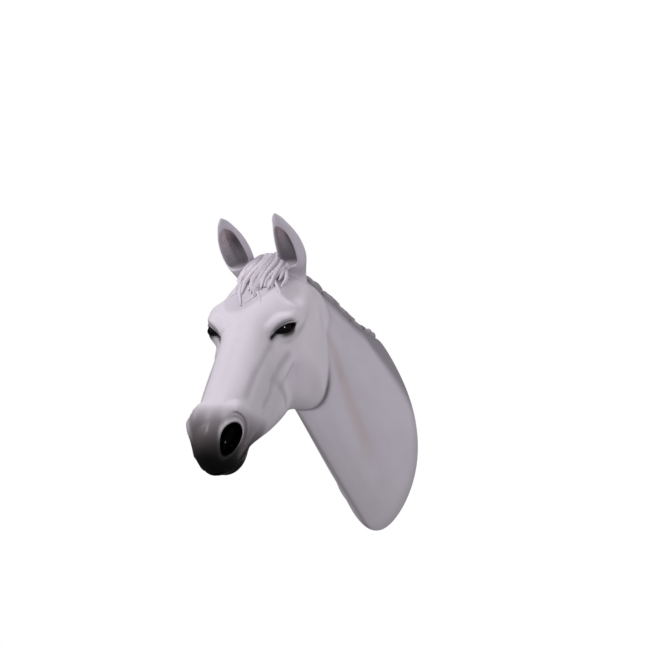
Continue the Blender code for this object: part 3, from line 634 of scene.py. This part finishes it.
def zip_strip(outer, inner, outer_pts, inner_pts):
    """triangles between two runs; indices count the outer run, then the inner run"""
    i = j = 0
    faces = []
    while i < len(outer) - 1 or j < len(inner) - 1:
        step_out = i < len(outer) - 1
        if step_out and j < len(inner) - 1:
            a = np.linalg.norm(outer_pts[outer[i + 1]] - inner_pts[inner[j]])
            b = np.linalg.norm(outer_pts[outer[i]] - inner_pts[inner[j + 1]])
            step_out = a < b
        if step_out:
            faces.append((i, i + 1, len(outer) + j))
            i += 1
        else:
            faces.append((i, len(outer) + j + 1, len(outer) + j))
            j += 1
    return faces


def air(w):
    """the hollow behind the skin, clear of the nostrils and eye sockets"""
    p = to_head(w)
    side = p[0]
    p = (np.abs(p[0]), p[1], p[2])
    hole = np.where(side > 0, nostril_hole(p, 1, 0.004), nostril_hole(p, -1, 0.004))
    d = cut(bust(w) + SKIN, hole, 0.004)
    return cut(d, distance(p, EYE) - EYE_R - 0.003, 0.004)


def half(sign, outside, inside, normals):
    """one closed half of the shell; the last value says which outside points it starts with"""
    sheets = []
    for pts, faces, straight, seam, wall in (outside, inside):
        mine = [f for f in faces if straight[f, 0].mean() * sign > 0]
        sheets.append((pts, mine, chains(mine, pts, seam, wall), np.unique(np.concatenate(mine))))
    (pts_o, mine_o, runs_o, used_o), (pts_i, mine_i, runs_i, used_i) = sheets
    new_o = {int(k): i for i, k in enumerate(used_o)}
    new_i = {int(k): i + len(used_o) for i, k in enumerate(used_i)}
    pts = [pts_o[used_o], pts_i[used_i]]
    all_normals = [normals[used_o], -unit_rows(gradient(air, pts_i[used_i]))]
    faces = [[new_o[q] for q in f] for f in mine_o] + [[new_i[q] for q in f[::-1]] for f in mine_i]
    count = len(used_o) + len(used_i)
    for k, (run_o, run_i) in enumerate(zip(runs_o, runs_i)):
        strip = np.concatenate([pts_o[run_o], pts_i[run_i]])
        if k == 0:
            facing = -sign * seam_direction(strip)
        else:
            facing = np.tile((0.0, 1.0, 0.0), (len(strip), 1))
        for f in zip_strip(run_o, run_i, pts_o, pts_i):
            a, b, c = strip[list(f)]
            turned = np.cross(b - a, c - a) @ facing[f[0]] < 0
            faces.append([count + q for q in (f[::-1] if turned else f)])
        pts.append(strip)
        all_normals.append(facing)
        count += len(strip)
    return np.concatenate(pts), faces, np.concatenate(all_normals), used_o


# ---- paint, with painted light and shade, as colour and roughness at each point ----
WHITE = np.array((0.750, 0.690, 0.772))
BLACK = np.array((0.0012, 0.0011, 0.0011))
BROWN_GREY = (0.086, 0.069, 0.073)
TAN = (0.50, 0.39, 0.33)
EAR_PINK = (0.66, 0.54, 0.57)
# colour of the painted shade in the ear bowls
EAR_BOWL_SHADE = (0.078, 0.060, 0.068)
# colour of the painted shade round the eyes
LID_SHADE = (0.058, 0.046, 0.050)
LASH = (0.0070, 0.0055, 0.0060)
IRIS = (0.0060, 0.0032, 0.0022)
PUPIL = (0.0015, 0.0013, 0.0013)
EYE_EDGE = (0.0040, 0.0030, 0.0030)
LAMINATE = (0.30, 0.29, 0.26, 0.75)      # bare inner face, with its roughness


def mix(colour, other, amount):
    amount = np.clip(amount, 0, 1)[:, None]
    return colour * (1 - amount) + other * amount


def skin_paint(w, normals):
    x, u, v = to_head(w)
    left = x > 0
    x = np.abs(x)
    p = (x, u, v)
    colour = np.tile(WHITE, (len(w), 1))
    rough = np.full(len(w), 0.40)

    def lay(paint, amount):
        nonlocal colour
        colour = mix(colour, paint, amount)

    on_head = ramp(head(to_head(w)) - neck(w), 0.004, -0.004)
    # greyer neck, darker towards its lower part; painted shade along the crest and the wall, where the
    # surface turns away
    fwd = -w[:, 1]
    lay(WHITE * (0.86, 0.86, 0.88), (1 - on_head))
    below_crest = CREST(fwd) - w[:, 2]
    lay(WHITE * 0.76, 0.8 * (1 - on_head) * ramp(below_crest, 0.30, 0.46))
    off_ears = np.min([ear(w, name, whole=True) for name in EARS], 0)
    edge = np.maximum(ramp(below_crest, 0.055, 0.0), ramp(0.5 * below_crest + fwd, 0.112, 0.068)
                      * ramp(below_crest, 0.34, 0.22)) * (1 - on_head) * ramp(off_ears, 0.002, 0.012)
    lay(WHITE * (0.24, 0.24, 0.25), 0.72 * edge)
    # painted shade where the bust meets the wall
    lay(WHITE * 0.45, 0.40 * ramp(fwd, 0.024, 0.0)**1.5)
    # painted shade in a band along the front edge of the throat
    throat = bump(w[:, 0] + 0.030, 0.013) * ramp(below_crest, 0.27, 0.31) * (1 - on_head)
    lay(WHITE * 0.20, 0.50 * throat)
    # painted shade in the crease behind the cheek and under the jaw, and on faces turned downwards
    low = ramp(v, -0.21, -0.28)
    crease = bump(head(to_head(w)) - neck(w), 0.0032 + 0.0034 * low) * ramp(v, -0.06, -0.10)
    lay(WHITE * 0.12, (0.14 + 0.78 * low) * crease)
    # painted shade on faces turned downwards
    under = ramp(-(normals @ np.array((0.0, -0.35, 0.94))), 0.25, 0.95)
    lay(WHITE * 0.42, 0.62 * under)
    # tan line along the jugular groove
    far = line_distance((0 * x, w[:, 1], w[:, 2]), [(0, b, c) for _, b, c in JUGULAR])
    lay(TAN, 0.30 * bump(far - 0.003, 0.0100) * (1 - on_head) * ramp(fwd, 0.085, 0.14))
    # painted shade in the creases of the face; high lines stay pale
    face = ramp(v, -0.30, -0.24) * ramp(u, 0.10, 0.16) * ramp(u, 0.53, 0.50)
    sunk = np.clip(-bust(w) / 0.0020, 0, 1)
    lay(WHITE * (0.36, 0.34, 0.37), 0.60 * sunk * face)
    # painted shade on the side plane of the face
    side_shade = ramp(x, 0.045, 0.062) * ramp(v, -0.020, -0.055) * ramp(u, 0.28, 0.34) * ramp(v, -0.20, -0.14)
    lay(WHITE * 0.70, 0.55 * side_shade)
    # muzzle
    m = 0.80 * u - 0.60 * v - 0.5 * np.maximum(x - 0.045, 0)
    dark = (1 - np.exp(-(np.maximum(m - 0.402, 0) / 0.031)**1.2)) * ramp(u, 0.38, 0.43)
    deep = ramp(m, 0.455, 0.522)[:, None]
    colour = colour * (1 - dark[:, None]) + (BROWN_GREY * (1 - deep) + BLACK * deep) * dark[:, None]
    rough = rough + (0.33 - rough) * dark
    slit = bump(v - MOUTH(u), 0.0030) * ramp(u, 0.450, 0.475)
    lay(BLACK, 0.9 * slit)
    # nostril: a painted highlight along the rim, strongest on its upper side; painted shade in the wrinkles
    # beside it; black gloss inside
    for side in NOSTRILS:
        _, a, b, _, leaf = nostril_places(p, side)
        near = (distance(p, nostril_axes(side)[0]) < 0.060) & (left == (side > 0))
        above = ramp(a, 0.016, -0.020)
        rim = bump(leaf - 0.0036, 0.0030) * near
        lay(WHITE * 0.78, rim * (0.03 + 0.64 * above))
        # painted shade in the troughs of the wrinkles
        fan, wave = wrinkles(b, leaf)
        lay(WHITE * 0.16, 0.78 * (0.5 - 0.5 * wave) * above * fan * near)
        inside = ramp(leaf, 0.0026, 0.0008) * near
        lay(BLACK * 0.4, inside)
        rough = rough + (0.13 - rough) * inside
    # dark lids and tear duct line; painted shade round the duct, under the lower lid and in the lid folds,
    # and a softer grey close round the slit
    out, a, b = eye_places(p)
    leaf = almond(a, b, EYE_HALF, EYE_ARCH, EYE_SAG)
    near = (np.sqrt(out * out + a * a + b * b) < 0.075) & (out > 0)
    duct = line_distance((a, b, 0 * a), ((-0.025, -0.0015, 0), (-0.039, -0.0065, 0)))
    lower = ramp(b, 0.002, -0.008)
    shade = np.maximum(0.95 * ramp(leaf, 0.0190, 0.0060) * lower * ramp(np.abs(a - 0.002), 0.032, 0.010),
                       0.42 * ramp(leaf, 0.010, 0.002))
    shade = np.maximum(shade, 0.74 * bump(duct, 0.0085))
    folds = sum(weight * bump(leaf - place - 0.05 * a, 0.0018) for place, _, weight in LID_FOLDS)
    folds = folds * ramp(b, -0.002, 0.006) * ramp(a, 0.036, 0.016)
    lay(LID_SHADE, np.maximum(shade, folds) * near)
    lash = np.maximum(ramp(leaf - 0.0016 * lower, 0.0040, 0.0010), 0.92 * bump(duct, 0.0040)) * near
    lay(LASH, lash)
    rough = rough + (0.16 - rough) * np.clip(lash, 0, 1)
    # ears: grainy bowls, pale low down and pink higher up, with painted shade on one side of each bowl and
    # round the ear's root; pale rims
    for name in EARS:
        near = ear(w, name, whole=True)
        t, tc, across, _ = ear_places(w, name)
        bowl = ramp(near, -0.0024, -0.0060) * ramp(t, 0.02, 0.10)
        fill = mix(np.tile(WHITE * 0.74, (len(w), 1)), EAR_PINK, ramp(t, 0.34, 0.62))
        # painted shade on one side of the bowl
        bowl_shade = np.exp(-((t - 0.52) / 0.27)**2) * ramp(across / EAR_WIDE(tc) * EAR_SHADE[name], -0.62, 0.20)
        fill = mix(fill, EAR_BOWL_SHADE, 0.92 * bowl_shade)
        fill = fill * (0.86 + 0.14 * np.sin(w[:, 2] * 1500 + 3 * np.sin(w[:, 0] * 900)))[:, None]
        lay(fill, 0.94 * bowl)
        rough = rough + (0.52 - rough) * bowl
        # painted shade round the root of the ear, where it meets the head
        ear_root_shade = bump(near - 0.0005, 0.004) * ramp(t, 0.16, 0.05) * ramp(t, -0.12, 0.0)
        lay(WHITE * 0.55, 0.45 * ear_root_shade)
    return colour, rough


def give_paint(ob, colour, rough):
    """stores colour and roughness; points past the given ones are bare laminate"""
    data = np.tile(LAMINATE, (len(ob.data.vertices), 1))
    data[:len(colour), :3] = colour
    data[:len(colour), 3] = rough
    layer = ob.data.color_attributes.new("paint", "FLOAT_COLOR", "POINT")
    layer.data.foreach_set("color", data.astype(np.float32).ravel())


low_corner, high_corner = (-0.19, -0.80, -0.44), (0.24, 0.018, 0.505)
skin_pts, skin_quads = mesh_of_field(skin, low_corner, high_corner, FINE)
skin_pts = settle(skin, skin_pts)
outside = open_skin(skin_pts, skin_quads, True)
air_pts, air_quads = mesh_of_field(air, low_corner, high_corner, INSIDE)
inside = open_skin(settle(air, air_pts), air_quads, False)
skin_normals = unit_rows(gradient(skin, outside[0]))
skin_colour, skin_rough = skin_paint(outside[0], skin_normals)

painted = []
for name, sign in (("left", 1), ("right", -1)):
    pts, faces, normals, used = half(sign, outside, inside, skin_normals)
    ob = piece("horse_" + name, pts, faces, normals, replaces=("shell_" + name, "ear_" + name))
    give_paint(ob, skin_colour[used], skin_rough[used])
    painted.append(ob)


# ---- forelock and mane ----
def on_skin(pts, rise):
    pts = settle(bust, np.array(pts, float), 24)
    return pts + unit_rows(gradient(bust, pts)) * rise


MAIN_STRANDS = 18                # of the forelock; the strands after them are strays
MANE_LOCKS, MANE_UNDERLOCKS = 34, 14


def forelock_locks():
    """S-shaped strands from the poll down over the forehead: root, tip, reach, sway, thickness"""
    locks = []
    strands = [(-0.026 + 0.0034 * k, -0.060 + 0.0062 * k,
                0.112 + 0.048 * sin(pi * (k + 2.0) / 20) + 0.012 * sin(5.1 * k),
                0.0105 + 0.0035 * sin(1.7 * k), 0.0056 + 0.0010 * sin(2.9 * k))
               for k in range(MAIN_STRANDS)]
    strands += [(-0.020, -0.060, 0.178, -0.018, 0.0052), (0.020, 0.066, 0.150, 0.016, 0.0050),
                (-0.010, -0.034, 0.204, 0.018, 0.0050), (0.000, -0.010, 0.198, -0.018, 0.0052),
                (0.006, 0.014, 0.190, 0.016, 0.0050), (0.024, 0.080, 0.124, -0.014, 0.0050),
                (-0.004, 0.030, 0.168, -0.012, 0.0054), (0.012, -0.006, 0.176, 0.012, 0.0056)]
    for k, (root, end, reach, sway, thick) in enumerate(strands):
        s = np.linspace(0, 1, 15)
        curl, sunk = (0.0017 * k, 0.0) if k < MAIN_STRANDS else (0.0, 0.0014)
        line = [from_head(root + (end - root) * t**1.1 + curl * sin(pi * t)
                          + sway * sin(2 * pi * t * 1.1 + 0.5 * sin(2.3 * k)) * (0.3 + 0.7 * t),
                          -0.012 + (reach + 0.012) * t, 0.02) for t in s]
        radii = thick * np.minimum(1, 0.60 + 1.6 * s) * (1 - s**3.4) + 0.0013
        locks.append((on_skin(line, forelock_lift(line) + 0.0006 + 0.0012 * (k % 3) - sunk), radii))
    return locks


def forelock_lift(line):
    """the hair stands highest just in front of the poll"""
    u = to_head(np.array(line))[1]
    return (0.0170 * np.clip(0.80 + 14 * (u + 0.012), 0, 1) * ramp(u, 0.150, 0.020))[:, None]


def forelock_mass():
    s = np.linspace(0, 1, 8)
    out = []
    for root, end, reach in ((-0.026, -0.050, 0.092), (-0.014, -0.026, 0.118), (0.0, 0.004, 0.130),
                             (0.014, 0.032, 0.120), (0.027, 0.058, 0.096)):
        line = [from_head(root + (end - root) * t, -0.010 + reach * t, 0.02) for t in s]
        out.append((on_skin(line, 0.85 * forelock_lift(line) - 0.0050), 0.0100 - 0.0060 * s))
    return out


def mane_line(fwd, length, sway, start):
    """from start beyond the crest over to the right side and down it, drifting back"""
    line = []
    for t in np.linspace(0, 1, 9):
        f = max(fwd - 0.050 * t + sway * sin(2 * pi * t + 3.0 * fwd / 0.025), 0.014)
        line.append((start - (0.067 + start) * t, -f, float(CREST(f)) + 0.012 - length * t * t))
    return line


def mane_mass():
    s = np.linspace(0, 1, 9)
    return [(on_skin(mane_line(0.345 - 0.025 * k, 0.105 + 0.012 * sin(2.4 * k), 0.006, 0.018), 0.0),
             0.0095 - 0.005 * s) for k in range(MANE_UNDERLOCKS)]


def mane_locks():
    s = np.linspace(0, 1, 9)
    locks = []
    for k in range(MANE_LOCKS):
        fwd = 0.352 - 0.0100 * k
        length = 0.112 + 0.022 * sin(2.4 * k) + 0.008 * sin(7.7 * k)
        line = mane_line(fwd, length, 0.0050 + 0.0035 * sin(1.9 * k), 0.020 + 0.005 * sin(4.3 * k))
        radii = (0.0058 + 0.0010 * sin(3.1 * k)) * (1 - s**2.4) * np.minimum(1, 0.6 + 2 * s) + 0.0010
        rise = 0.0048 + 0.0016 * sin(5.3 * k) + 0.0120 * max(0.0, (fwd - 0.285) / 0.06)
        locks.append((on_skin(line, rise), radii))
    return locks


def locks_field(locks, blend):
    """all locks as one body; a lock is only worked out near itself"""
    def field(w):
        d = np.full(len(w), 0.012)
        for points, radii in locks:
            low, high = points.min(0) - 0.016, points.max(0) + 0.016
            near = ((w > low) & (w < high)).all(1)
            if not near.any():
                continue
            p = [w[near, k] for k in range(3)]
            e = capsule(p, points[0], points[1], radii[0], radii[1])
            for a, b, ra, rb in zip(points[1:], points[2:], radii[1:], radii[2:]):
                e = union(e, capsule(p, a, b, ra, rb), 0.002)
            d[near] = union(d[near], e, blend)
        return d
    return field


def hair(name, locks, mass, low, high, limit, light, dark):
    fine, under = locks_field(locks, 0.0011), locks_field(mass, 0.010)
    hull = locks_field(locks, 0.0060)

    def field(w):
        d = np.maximum(union(fine(w), under(w), 0.0015), limit(w))
        for ear_name in EARS:
            d = np.maximum(d, 0.0005 - ear(w, ear_name, whole=True))
        return np.maximum(d, -bust(w) - 0.0030)
    pts, quads = mesh_of_field(field, low, high, HAIR_FINE)
    pts = settle(field, pts, 2, 0.001)
    normals = unit_rows(gradient(field, pts, 3e-4))
    ob = piece(name + "_hair", pts, quads, normals, replaces=(name,))
    # painted shade in the grooves between the locks
    depth = ramp(-hull(pts), 0.0006, 0.0028)
    colour = mix(np.tile(light, (len(pts), 1)), dark, depth)
    give_paint(ob, colour, 0.38)
    painted.append(ob)


HAIR_SPLIT = POLL[1] - 0.004
# last two colours: the hair's own paint, and the painted shade in the grooves between its locks
hair("forelock", forelock_locks(), forelock_mass(), (-0.12, -0.60, 0.20), (0.12, -0.34, 0.48),
     lambda w: w[:, 1] + HAIR_SPLIT, WHITE, WHITE * 0.58)
hair("mane", mane_locks(), mane_mass(), (-0.16, -0.42, 0.05), (0.08, 0.0, 0.45),
     lambda w: np.maximum(-w[:, 1] - HAIR_SPLIT, w[:, 1] + 0.002), WHITE * 0.52, WHITE * 0.20)


# ---- eyes ----
def rings_round_a_pole(rings, columns):
    """faces of a first point followed by rings of points"""
    faces = [(0, 1 + j, 1 + (j + 1) % columns) for j in range(columns)]
    for i in range(rings - 1):
        for j in range(columns):
            a, b = 1 + i * columns + j, 1 + i * columns + (j + 1) % columns
            faces.append((a, a + columns, b + columns, b))
    return faces


def eyeball(name, sign):
    """ball with a slightly fuller cornea, a brown iris and a wide flat pupil"""
    low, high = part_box("eye_" + name)
    centre = (np.array(low) + np.array(high)) / 2
    axes = [from_head(sign * v[0], v[1], v[2]) - from_head(0, 0, 0) for v in (EYE_OUT, EYE_LONG, EYE_UP)]
    rows, columns = 40, 64
    pts, iris = [], []
    for i in range(rows + 1):
        tilt = pi * i / rows
        for j in range(columns):
            turn = 2 * pi * j / columns
            side = sin(tilt)
            q = np.array([cos(tilt), side * cos(turn), side * sin(turn)])
            swell = 0.0012 * exp(-(tilt / 0.55)**2)
            pts.append(centre + (EYE_R + swell) * sum(c * a for c, a in zip(q, axes)))
            iris.append((tilt, q[1], q[2]))
            if i in (0, rows):
                break
    last = len(pts) - 1
    faces = rings_round_a_pole(rows - 1, columns)
    ring = last - columns
    faces += [(last, ring + (j + 1) % columns, ring + j) for j in range(columns)]
    pts = np.array(pts)
    if np.cross(pts[1] - pts[0], pts[2] - pts[0]) @ (pts[0] - centre) < 0:
        faces = [f[::-1] for f in faces]
    tilt, across, up = np.array(iris).T
    pupil = np.sqrt((across / 0.42)**2 + (up / 0.22)**2)
    colour = mix(np.tile(IRIS, (len(pts), 1)), PUPIL, ramp(pupil, 1.15, 0.85))
    colour = mix(colour, EYE_EDGE, ramp(tilt, 0.62, 0.78))
    ob = piece("eyeball_" + name, pts, faces, unit_rows(pts - centre), replaces=("eye_" + name,))
    give_paint(ob, colour, 0.04)
    return ob


eyeballs = [eyeball("left", 1), eyeball("right", -1)]


# ---- materials ----
class Shader:
    """a material with short ways to add and join nodes"""
    def __init__(self, name, **fixed):
        self.material = bpy.data.materials.new(name)
        self.material.use_nodes = True
        self.tree = self.material.node_tree
        self.surface = self.tree.nodes["Principled BSDF"]
        for key, value in fixed.items():
            self.surface.inputs[key.replace("_", " ")].default_value = value

    def node(self, kind, inputs=None, **settings):
        made = self.tree.nodes.new("ShaderNode" + kind)
        for key, value in settings.items():
            setattr(made, key, value)
        for key, value in (inputs or {}).items():
            if isinstance(value, bpy.types.NodeSocket):
                self.tree.links.new(value, made.inputs[key])
            else:
                made.inputs[key].default_value = value
        return made

    def join(self, socket, key):
        self.tree.links.new(socket, self.surface.inputs[key])

    def place(self, stretch=(1, 1, 1)):
        coordinates = self.node("TexCoord")
        return self.node("Mapping", {"Vector": coordinates.outputs["Object"],
                                               "Scale": stretch}).outputs["Vector"]

    def noise(self, where, scale, detail=3.0, roughness=0.55):
        return self.node("TexNoise", {"Vector": where, "Scale": scale, "Detail": detail,
                                                "Roughness": roughness}).outputs["Fac"]

    def spread(self, value, low, high, start=0.0, end=1.0):
        return self.node("MapRange", {"Value": value, "From Min": start, "From Max": end,
                                                "To Min": low, "To Max": high}).outputs["Result"]

    def tint(self, colour, factor):
        """colour times a number"""
        return self.node("VectorMath", {0: colour, "Scale": factor},
                         operation="SCALE").outputs["Vector"]

    def blend(self, factor, a, b):
        return self.node("Mix", {0: factor, 6: a, 7: b}, data_type="RGBA").outputs[2]

    def reckon(self, operation, *values):
        return self.node("Math", dict(enumerate(values)), operation=operation).outputs[0]

    def part(self, vector, axis):
        return self.node("SeparateXYZ", {0: vector}).outputs[axis]

    def relief(self, height, depth, strength=1.0, **under):
        return self.node("Bump", {"Height": height, "Distance": depth, "Strength": strength,
                                            **under}).outputs["Normal"]


def paint_material(name, mottle, grain, **fixed):
    """airbrushed semi-gloss paint over cast resin: colour, with its painted light and shade, and roughness
    come from the points
    """
    s = Shader(name, **fixed)
    attribute = s.node("Attribute", attribute_name="paint")
    where = s.place()
    cloud = s.noise(where, 14.0, 4.0, 0.6)
    speck = s.noise(where, 420.0, 2.0, 0.6)
    colour = s.tint(attribute.outputs["Color"], s.spread(cloud, 1 - mottle, 1 + mottle, 0.3, 0.7))
    colour = s.tint(colour, s.spread(speck, 1 - mottle * 0.8, 1 + mottle * 0.6, 0.3, 0.7))
    s.join(colour, "Base Color")
    haze = s.spread(s.noise(where, 55.0), 0.86, 1.16, 0.3, 0.7)
    s.join(s.reckon("MULTIPLY", attribute.outputs["Alpha"], haze), "Roughness")
    fine = s.relief(speck, grain)
    s.join(s.relief(s.noise(where, 95.0, 3.0), grain * 3.0, 0.6, Normal=fine), "Normal")
    return s.material


def wood_material(name, light, dark, plies=0.0):
    """grain runs across the board; plies show as bands through its thickness"""
    s = Shader(name, Roughness=0.70)
    where = s.place((3.0, 30.0, 42.0))
    grain = s.noise(where, 4.0, 6.0, 0.65)
    streak = s.node("TexWave", {"Vector": s.place((1.0, 8.0, 26.0)), "Scale": 3.2, "Distortion": 6.0,
                                          "Detail": 3.0, "Detail Scale": 1.4}, wave_type="BANDS",
                    bands_direction="Z").outputs["Fac"]
    mixed = s.blend(s.spread(grain, 0.0, 1.0, 0.3, 0.7), (*light, 1), (*dark, 1))
    mixed = s.blend(s.spread(streak, 0.0, 0.35), mixed, (*(0.6 * np.array(dark)), 1))
    if plies:
        band = s.reckon("SINE", s.reckon("MULTIPLY", s.part(s.place(), "Y"), 2 * pi / plies))
        facing = s.reckon("ABSOLUTE", s.part(s.node("NewGeometry").outputs["Normal"], "Y"))
        edge = s.spread(facing, 1.0, 0.0, 0.2, 0.7)
        share = s.reckon("MULTIPLY", s.spread(band, 0.0, 0.75, 0.0, 0.5), edge)
        mixed = s.blend(share, mixed, (*(0.35 * np.array(dark)), 1))
    s.join(mixed, "Base Color")
    s.join(s.spread(grain, 0.62, 0.82, 0.3, 0.7), "Roughness")
    s.join(s.relief(grain, 0.0003, 0.7), "Normal")
    return s.material


def steel_material(name, tone, low, high):
    """zinc plating: faint spangle, wiping marks and duller patches"""
    s = Shader(name, Metallic=1.0)
    where = s.place()
    spangle = s.node("TexVoronoi", {"Vector": where, "Scale": 260.0}).outputs["Color"]
    shade = s.part(spangle, "X")
    dull = s.noise(where, 130.0, 4.0)
    s.join(s.blend(s.spread(shade, 0.0, 0.5), (*tone, 1), (*(0.78 * np.array(tone)), 1)), "Base Color")
    s.join(s.spread(dull, low, high, 0.3, 0.7), "Roughness")
    s.join(s.relief(s.noise(s.place((1, 1, 12)), 300.0), 0.00008), "Normal")
    return s.material


skin_paint_material = paint_material("horse_paint", 0.030, 0.00010, Specular_IOR_Level=0.32)
hair_paint_material = paint_material("hair_paint", 0.040, 0.00016, Specular_IOR_Level=0.35)
eye_material = paint_material("eye_gloss", 0.02, 0.00001, Coat_Weight=1.0, Coat_Roughness=0.02)
plywood = wood_material("plywood", (0.66, 0.50, 0.32), (0.50, 0.34, 0.19), plies=0.0024)
timber = wood_material("timber", (0.62, 0.43, 0.25), (0.44, 0.27, 0.13))
screw_steel = steel_material("screw_steel", (0.66, 0.66, 0.62), 0.24, 0.42)
hanger_steel = steel_material("hanger_steel", (0.60, 0.60, 0.57), 0.30, 0.50)
ring_steel = steel_material("ring_steel", (0.68, 0.68, 0.66), 0.16, 0.30)

for ob in painted:
    ob.data.materials.append(hair_paint_material if ob.name.endswith("_hair") else skin_paint_material)
for ob in eyeballs:
    ob.data.materials.append(eye_material)
FINISHES = (("back_board", plywood), ("hanger_batten", timber), ("fixing_block", timber),
            ("board_screw", screw_steel), ("hanger_screw", screw_steel),
            ("hanger_plate", hanger_steel), ("d_ring", ring_steel))
for name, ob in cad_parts.items():
    for start, material in FINISHES:
        if name.startswith(start):
            for slot in ob.material_slots:
                slot.material = material


# ---- floor, light and camera ----
FLOOR_Z, FLOOR_R = -0.95, 2.4


def floor_disk():
    rings, columns = 6, 96
    pts = [(0.0, 0.0, FLOOR_Z)]
    for k in range(1, rings + 1):
        r = FLOOR_R * k / rings
        pts += [(r * cos(a), r * sin(a), FLOOR_Z)
                for a in np.linspace(0, 2 * pi, columns, endpoint=False)]
    me = bpy.data.meshes.new("floor")
    me.from_pydata(pts, [], rings_round_a_pole(rings, columns))
    ob = add("floor", me)
    s = Shader("floor", Roughness=0.9)
    s.join(s.blend(s.noise(s.place(), 3.0), (0.80, 0.80, 0.80, 1), (0.83, 0.83, 0.83, 1)), "Base Color")
    me.materials.append(s.material)
    ob.visible_glossy = False


floor_disk()

CAMERA_AZIMUTH, CAMERA_ELEVATION, CAMERA_DISTANCE, CAMERA_LENS = rad(42), rad(-6), 3.0, 66.98
TARGET = Vector((-0.0653, -0.1311, 0.2659))


def around(azimuth, elevation, distance):
    """place seen from the target; azimuth 0 is in front, 90 on the horse's left"""
    return TARGET + distance * Vector((sin(azimuth) * cos(elevation),
                                       -cos(azimuth) * cos(elevation), sin(elevation)))


def look(ob, azimuth, elevation, distance):
    place = around(azimuth, elevation, distance)
    turned = (TARGET - place).to_track_quat("-Z", "Y").to_matrix().to_4x4()
    ob.matrix_world = Matrix.Translation(place) @ turned


camera = add("camera", bpy.data.cameras.new("camera"))
camera.data.lens, camera.data.sensor_width = CAMERA_LENS, 36.0
look(camera, CAMERA_AZIMUTH, CAMERA_ELEVATION, CAMERA_DISTANCE)
bpy.context.scene.camera = camera

# name, azimuth, elevation, distance, size, watts, seen in reflections
LAMPS = (("key", -24, 38, 2.6, 1.3, 33, False),
         ("sheen", -24, 40, 2.6, 0.42, 8, True),
         ("fill", 100, 8, 2.8, 2.2, 11, False),
         ("glint", 72, 8, 2.7, 0.36, 3.5, True),
         ("top", 150, 72, 2.4, 1.6, 14, True),
         ("back", 215, 20, 3.0, 2.2, 14, False))
ROOM_LIGHT, ROOM_REFLECTED, BACKDROP = 0.34, 0.05, 1.0   # the unlit part of the studio reflects little
for name, azimuth, elevation, distance, size, watts, mirrored in LAMPS:
    lamp = add(name, bpy.data.lights.new(name, "AREA"))
    lamp.data.shape, lamp.data.size, lamp.data.energy = "DISK", size, watts
    lamp.visible_glossy = mirrored
    look(lamp, rad(azimuth), rad(elevation), distance)

world = bpy.data.worlds.new("studio")
world.use_nodes = True
tree = world.node_tree
room = tree.nodes["Background"]
room.inputs["Color"].default_value = (1.0, 1.0, 1.0, 1)
room.inputs["Strength"].default_value = ROOM_LIGHT
ray = tree.nodes.new("ShaderNodeLightPath")
seen = room.outputs[0]
for kind, strength in (("Is Glossy Ray", ROOM_REFLECTED), ("Is Camera Ray", BACKDROP)):
    plain, chosen = tree.nodes.new("ShaderNodeBackground"), tree.nodes.new("ShaderNodeMixShader")
    plain.inputs["Color"].default_value = (1.0, 1.0, 1.0, 1)
    plain.inputs["Strength"].default_value = strength
    for key, socket in enumerate((ray.outputs[kind], seen, plain.outputs[0])):
        tree.links.new(socket, chosen.inputs[key])
    seen = chosen.outputs[0]
tree.links.new(seen, tree.nodes["World Output"].inputs["Surface"])
bpy.context.scene.world = world
bpy.context.scene.view_settings.view_transform = "Standard"
